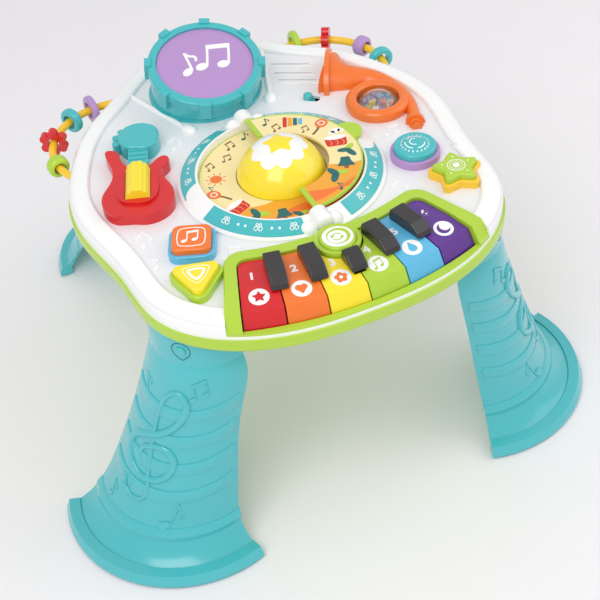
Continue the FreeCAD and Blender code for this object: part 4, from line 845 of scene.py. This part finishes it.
def key_symbol(piece, number, tone, spot, h):
    """A white disc with a plain sign in the key's own colour."""
    piece.put(round_plate(0, 0, 0.0092, 0.0092, h), "ink_white", spot)
    lift = Matrix.Translation((0, 0, h))
    spot = spot @ lift
    if number == 1:
        piece.put(star_plate(0.0066, 0.5, h, 0.0008), tone, spot)
    elif number == 2:
        for x in (-0.0025, 0.0025):
            piece.put(round_plate(x, 0.0014, 0.0031, 0.0031, h), tone, spot)
        point = [(-0.0054, 0.0008), (0.0, -0.006), (0.0054, 0.0008), (0.0, 0.0026)]
        piece.put(cornered(point, h), tone, spot)
    elif number == 3:
        for n in range(5):
            a = math.radians(90 + 72 * n)
            petal = round_plate(0.0036 * math.cos(a), 0.0036 * math.sin(a), 0.0024, 0.0024, h)
            piece.put(petal, "orange", spot)
        piece.put(round_plate(0, 0, 0.0017, 0.0017, h * 2), "ink_white", spot)
    elif number == 4:
        beamed_pair(piece, tone, spot, 0.0105, h)
    elif number == 5:
        piece.put(round_plate(0, -0.0012, 0.004, 0.004, h), tone, spot)
        piece.put(cornered([(-0.0036, 0.0004), (0.0036, 0.0004), (0, 0.0072)], h), tone, spot)
    else:
        piece.put(round_plate(0, 0, 0.0062, 0.0062, h), tone, spot)
        piece.put(round_plate(0.0024, 0.0012, 0.005, 0.005, h * 2), "ink_white", spot)


def key_labels():
    h = sizes().print_proud
    tones = ("red", "orange", "yellow", "lime", "sky", "violet")
    level = DECK_Z + 0.03
    for n in range(6):
        angle = -3 * KEY_ANGLE + (n + 0.5) * KEY_ANGLE
        piece = Piece("key_label_%d" % (n + 1))
        shift = {0: -0.9, 5: 0.9}.get(n, 0.0)
        out = 295 if n in (2, 3) else 289
        turn = Matrix.Rotation(math.radians(angle), 4, "Z")
        piece.put(numeral(str(n + 1), 0.0125, h), "ink_white",
                  Matrix.Translation(fan_point(angle + shift, out, level)) @ turn)
        spot = Matrix.Translation(fan_point(angle + shift * 0.3, 315, level)) @ turn
        key_symbol(piece, n + 1, tones[n], spot, h)
        drape(piece, surface_of("key_%d" % (n + 1)), level)
        piece.finish("key_%d_body" % (n + 1), tones[n] + "_plastic", 30)


def mode_print():
    """White and lime rings with two turning arrows on the button at the keyboard's middle."""
    h = sizes().print_proud
    low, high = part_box("mode_button")
    middle = Matrix.Translation(((low.x + high.x) / 2, (low.y + high.y) / 2, high.z))
    piece = Piece("mode_rings")
    piece.put(round_plate(0, 0, 0.0142, 0.0142, h, steps=48), "ink_white", middle)
    piece.put(round_plate(0.0008, 0.0004, 0.0108, 0.0108, h * 2, steps=48), "lime", middle)
    piece.put(round_plate(-0.0008, -0.0006, 0.0088, 0.0088, h * 3, steps=48), "ink_white", middle)
    top = middle @ Matrix.Translation((-0.0008, -0.0006, h * 3))
    for start in (20, 200):
        arc = []
        for k in range(5):
            a = math.radians(start + k * 30)
            arc.append((0.0045 * math.cos(a), 0.0045 * math.sin(a)))
        piece.put(stroke(arc, 0.0013, h), "lime", top)
        a = math.radians(start + 132)
        tip = Matrix.Translation((0.0045 * math.cos(a), 0.0045 * math.sin(a), 0)) @ Matrix.Rotation(a, 4, "Z")
        piece.put(cornered([(-0.002, -0.001), (0.002, -0.001), (0, 0.0022)], h), "lime", top @ tip)
    piece.finish("mode_button_body", "lime_plastic", 30)


# Drum and push buttons

def drum_print():
    h = sizes().print_proud * 2
    level = DECK_Z + 0.09
    piece = Piece("drum_notes")
    quaver(piece, "ink_white", on_deck(-24, 167, -2, level), 0.030, h)
    beamed_pair(piece, "ink_white", on_deck(5, 165, -22, level), 0.034, h)
    bmesh.ops.subdivide_edges(piece.mesh, edges=piece.mesh.edges[:], cuts=1)
    drape(piece, surface_of("drum_head"), level)
    piece.finish("drum_head_body", "head_purple", 40)


def button_prints():
    s = sizes()
    h = s.print_proud
    w = s.outline
    square = Piece("square_print")
    spot = on_deck(-115, -57, -24, CAP_TOP)
    half = 0.0125
    corner = [(-1, -0.4), (-1, 0.4), (-0.86, 0.86), (-0.4, 1), (0.4, 1), (0.86, 0.86)]
    side = [(half * x * sign, half * y * sign) for sign in (1, -1) for x, y in corner]
    square.put(stroke(side, w, h, closed=True), "ink_white", spot)
    beamed_pair(square, "ink_white", spot @ Matrix.Translation((0, 0.0006, 0)), 0.015, h)
    square.finish("square_button_body", "orange_plastic", 40)
    triangle = Piece("triangle_print")
    spot = on_deck(-129.5, -105, -107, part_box("triangle_button")[1].z)
    for r, width in ((13.5, w * 0.7), (8.0, w * 2.2)):
        points = []
        for n in range(3):
            for spread in (-16, 0, 16):
                a = math.radians(120 * n + spread)
                out = (r * 0.86 if spread else r) * MM
                points.append((out * math.cos(a), out * math.sin(a)))
        triangle.put(stroke(points, width, h, closed=True), "ink_white", spot)
    triangle.finish("triangle_button_body", "yellow_plastic", 40)
    level = DECK_Z + 0.05
    ball = Piece("round_print")
    for n in range(20):
        a = math.radians(18 * n)
        ball.put(round_plate(0.0132 * math.cos(a), 0.0132 * math.sin(a), 0.0008, 0.0008, h * 2, steps=10),
                 "ink_white", on_deck(124, -38, 0, level))
    for r, start, span in ((9.5, 20, 100), (9.5, 150, 80), (9.5, 260, 70), (5.0, 60, 200)):
        arc = []
        for k in range(6):
            a = math.radians(start + span * k / 5)
            arc.append((r * MM * math.cos(a), r * MM * math.sin(a)))
        ball.put(stroke(arc, w, h), "ink_white", on_deck(124, -38, 0, level))
    drape(ball, surface_of("round_button"), level)
    ball.finish("round_button_body", "teal_plastic", 40)
    star = Piece("star_print")
    spot = on_deck(141, -87, 0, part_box("star_button")[1].z)
    star.put(hoop(0, 0, 0.0088, 0.0080, h), "ink_white", spot)
    star.put(hoop(0, 0, 0.0062, 0.0057, h), "ink_white", spot)
    star.put(round_plate(0, 0, 0.0034, 0.0034, h), "ink_white", spot)
    for n in range(5):
        a = math.radians(76 + 72 * n)
        star.put(round_plate(0.0132 * math.cos(a), 0.0132 * math.sin(a), 0.0009, 0.0009, h, steps=12),
                 "ink_white", spot)
    star.finish("star_button_body", "lime_plastic", 30)


# Studio

def soft_lamp(name, power, spot, size, target):
    lamp = bpy.data.lights.new(name, "AREA")
    lamp.energy = power
    lamp.size = size
    holder = bpy.data.objects.new(name, lamp)
    bpy.context.scene.collection.objects.link(holder)
    holder.location = spot
    holder.rotation_euler = (Vector(target) - Vector(spot)).to_track_quat("-Z", "Y").to_euler()


def lay_floor():
    part = bmesh.new()
    bmesh.ops.create_grid(part, x_segments=1, y_segments=1, size=6.0)
    data = bpy.data.meshes.new("studio_floor")
    part.to_mesh(data)
    part.free()
    data.materials.append(plastic("floor_pale", tuple(shades().floor), rough=0.7, coat=0.0, mottling=0.01))
    floor = bpy.data.objects.new("studio_floor", data)
    bpy.context.scene.collection.objects.link(floor)


def set_camera():
    s = bpy.context.scene.studio_settings
    target = Vector((-0.0195, -0.064 + MIDDLE_Y, 0.200))
    back = Vector((math.cos(s.azimuth) * math.cos(s.height), math.sin(s.azimuth) * math.cos(s.height),
                   math.sin(s.height)))
    forward = -back
    right = forward.cross(Vector((0, 0, 1))).normalized()
    up = right.cross(forward)
    across = math.cos(s.roll) * right + math.sin(s.roll) * up
    over = -math.sin(s.roll) * right + math.cos(s.roll) * up
    lens = bpy.data.cameras.new("photo_camera")
    lens.lens = s.lens
    lens.sensor_width = 36
    lens.sensor_fit = "HORIZONTAL"
    camera = bpy.data.objects.new("photo_camera", lens)
    bpy.context.scene.collection.objects.link(camera)
    place = Matrix.Identity(4)
    for column, axis in enumerate((across, over, back)):
        for row in range(3):
            place[row][column] = axis[row]
    place.translation = target + back * s.distance
    camera.matrix_world = place
    bpy.context.scene.camera = camera


def light_studio():
    s = bpy.context.scene.studio_settings
    world = bpy.data.worlds.new("studio_surround")
    world.use_nodes = True
    ground = world.node_tree.nodes["Background"]
    ground.inputs["Color"].default_value = (1.0, 1.0, 1.0, 1)
    ground.inputs["Strength"].default_value = s.sky_light
    bpy.context.scene.world = world
    soft_lamp("key_lamp", s.key_light, (-0.9, -1.0, 1.7), 1.2, (0, 0, 0.2))
    soft_lamp("fill_lamp", s.fill_light, (1.3, -0.5, 1.2), 1.4, (0, 0, 0.2))
    bpy.context.scene.view_settings.view_transform = "Standard"


# Operators and panel

class ActivityTablePlastics(bpy.types.Operator):
    """Gives every solid of the table its plastic, rubber, steel or printed card"""
    bl_idname = "activity_table.plastics"
    bl_label = "Plastics"

    def execute(self, context):
        finish_nodes()
        return {"FINISHED"}


class ActivityTableLegRelief(bpy.types.Operator):
    """Raises the stave bands, the clef and the notes on each leg, and draws the snap button's outline"""
    bl_idname = "activity_table.leg_relief"
    bl_label = "Leg relief"

    def execute(self, context):
        for name, corner in (("front_left", (-1, -1)), ("front_right", (1, -1)), ("back_left", (-1, 1)),
                             ("back_right", (1, 1))):
            leg_relief(name, corner)
        return {"FINISHED"}


class ActivityTableDeckRelief(bpy.types.Operator):
    """Raises the small notes and the wavy ridges on the deck"""
    bl_idname = "activity_table.deck_relief"
    bl_label = "Deck relief"

    def execute(self, context):
        deck_notes()
        sound_waves()
        return {"FINISHED"}


class ActivityTableRingTrim(bpy.types.Operator):
    """Adds the white lobes beside the rod sockets and the motifs along the ring's teal bands"""
    bl_idname = "activity_table.ring_trim"
    bl_label = "Ring trim"

    def execute(self, context):
        socket_lobes()
        ring_motifs()
        return {"FINISHED"}


class ActivityTableCardPrints(bpy.types.Operator):
    """Prints small toys, notes and leaves on the disc and on both sides of the flip page"""
    bl_idname = "activity_table.card_prints"
    bl_label = "Disc and page prints"

    def execute(self, context):
        print_disc_and_page()
        return {"FINISHED"}


class ActivityTableDomePrint(bpy.types.Operator):
    """Prints a rounded star on the crown of the centre dome"""
    bl_idname = "activity_table.dome_print"
    bl_label = "Dome print"

    def execute(self, context):
        print_dome()
        return {"FINISHED"}


class ActivityTableKeyLabels(bpy.types.Operator):
    """Numbers the six keys and gives each a plain sign"""
    bl_idname = "activity_table.key_labels"
    bl_label = "Key labels"

    def execute(self, context):
        key_labels()
        return {"FINISHED"}


class ActivityTableModePrint(bpy.types.Operator):
    """Prints rings and two turning arrows on the button at the keyboard's middle"""
    bl_idname = "activity_table.mode_print"
    bl_label = "Mode button print"

    def execute(self, context):
        mode_print()
        return {"FINISHED"}


class ActivityTableDrumPrint(bpy.types.Operator):
    """Prints a quaver and a beamed pair on the drum's head"""
    bl_idname = "activity_table.drum_print"
    bl_label = "Drum print"

    def execute(self, context):
        drum_print()
        return {"FINISHED"}


class ActivityTableButtonPrints(bpy.types.Operator):
    """Prints the square, triangle, round and star buttons"""
    bl_idname = "activity_table.button_prints"
    bl_label = "Button prints"

    def execute(self, context):
        button_prints()
        return {"FINISHED"}


class ActivityTableStage(bpy.types.Operator):
    """Lays the pale floor, sets the lamps and places the camera"""
    bl_idname = "activity_table.stage"
    bl_label = "Studio"

    def execute(self, context):
        lay_floor()
        light_studio()
        set_camera()
        return {"FINISHED"}


OPERATORS = (ActivityTablePlastics, ActivityTableLegRelief, ActivityTableDeckRelief, ActivityTableRingTrim,
             ActivityTableCardPrints, ActivityTableDomePrint, ActivityTableKeyLabels, ActivityTableModePrint,
             ActivityTableDrumPrint, ActivityTableButtonPrints, ActivityTableStage)


class ActivityTablePanel(bpy.types.Panel):
    bl_idname = "VIEW3D_PT_activity_table"
    bl_label = "Activity Table"
    bl_space_type = "VIEW_3D"
    bl_region_type = "UI"
    bl_category = "Activity Table"

    def draw(self, context):
        layout = self.layout
        for operator in OPERATORS:
            layout.operator(operator.bl_idname)
        for group in (context.scene.table_sizes, context.scene.table_colours, context.scene.studio_settings):
            box = layout.box()
            for name in group.bl_rna.properties.keys():
                if name not in ("rna_type", "name"):
                    box.prop(group, name)


CLASSES = (TableColours, TableSizes, StudioSettings) + OPERATORS + (ActivityTablePanel,)


def register():
    for item in CLASSES:
        bpy.utils.register_class(item)
    bpy.types.Scene.table_colours = PointerProperty(type=TableColours)
    bpy.types.Scene.table_sizes = PointerProperty(type=TableSizes)
    bpy.types.Scene.studio_settings = PointerProperty(type=StudioSettings)


def unregister():
    del bpy.types.Scene.studio_settings
    del bpy.types.Scene.table_sizes
    del bpy.types.Scene.table_colours
    for item in reversed(CLASSES):
        bpy.utils.unregister_class(item)


def main():
    register()
    make = bpy.ops.activity_table
    make.plastics()
    make.leg_relief()
    make.deck_relief()
    make.ring_trim()
    make.card_prints()
    make.dome_print()
    make.key_labels()
    make.mode_print()
    make.drum_print()
    make.button_prints()
    make.stage()


if __name__ == "__main__":
    main()
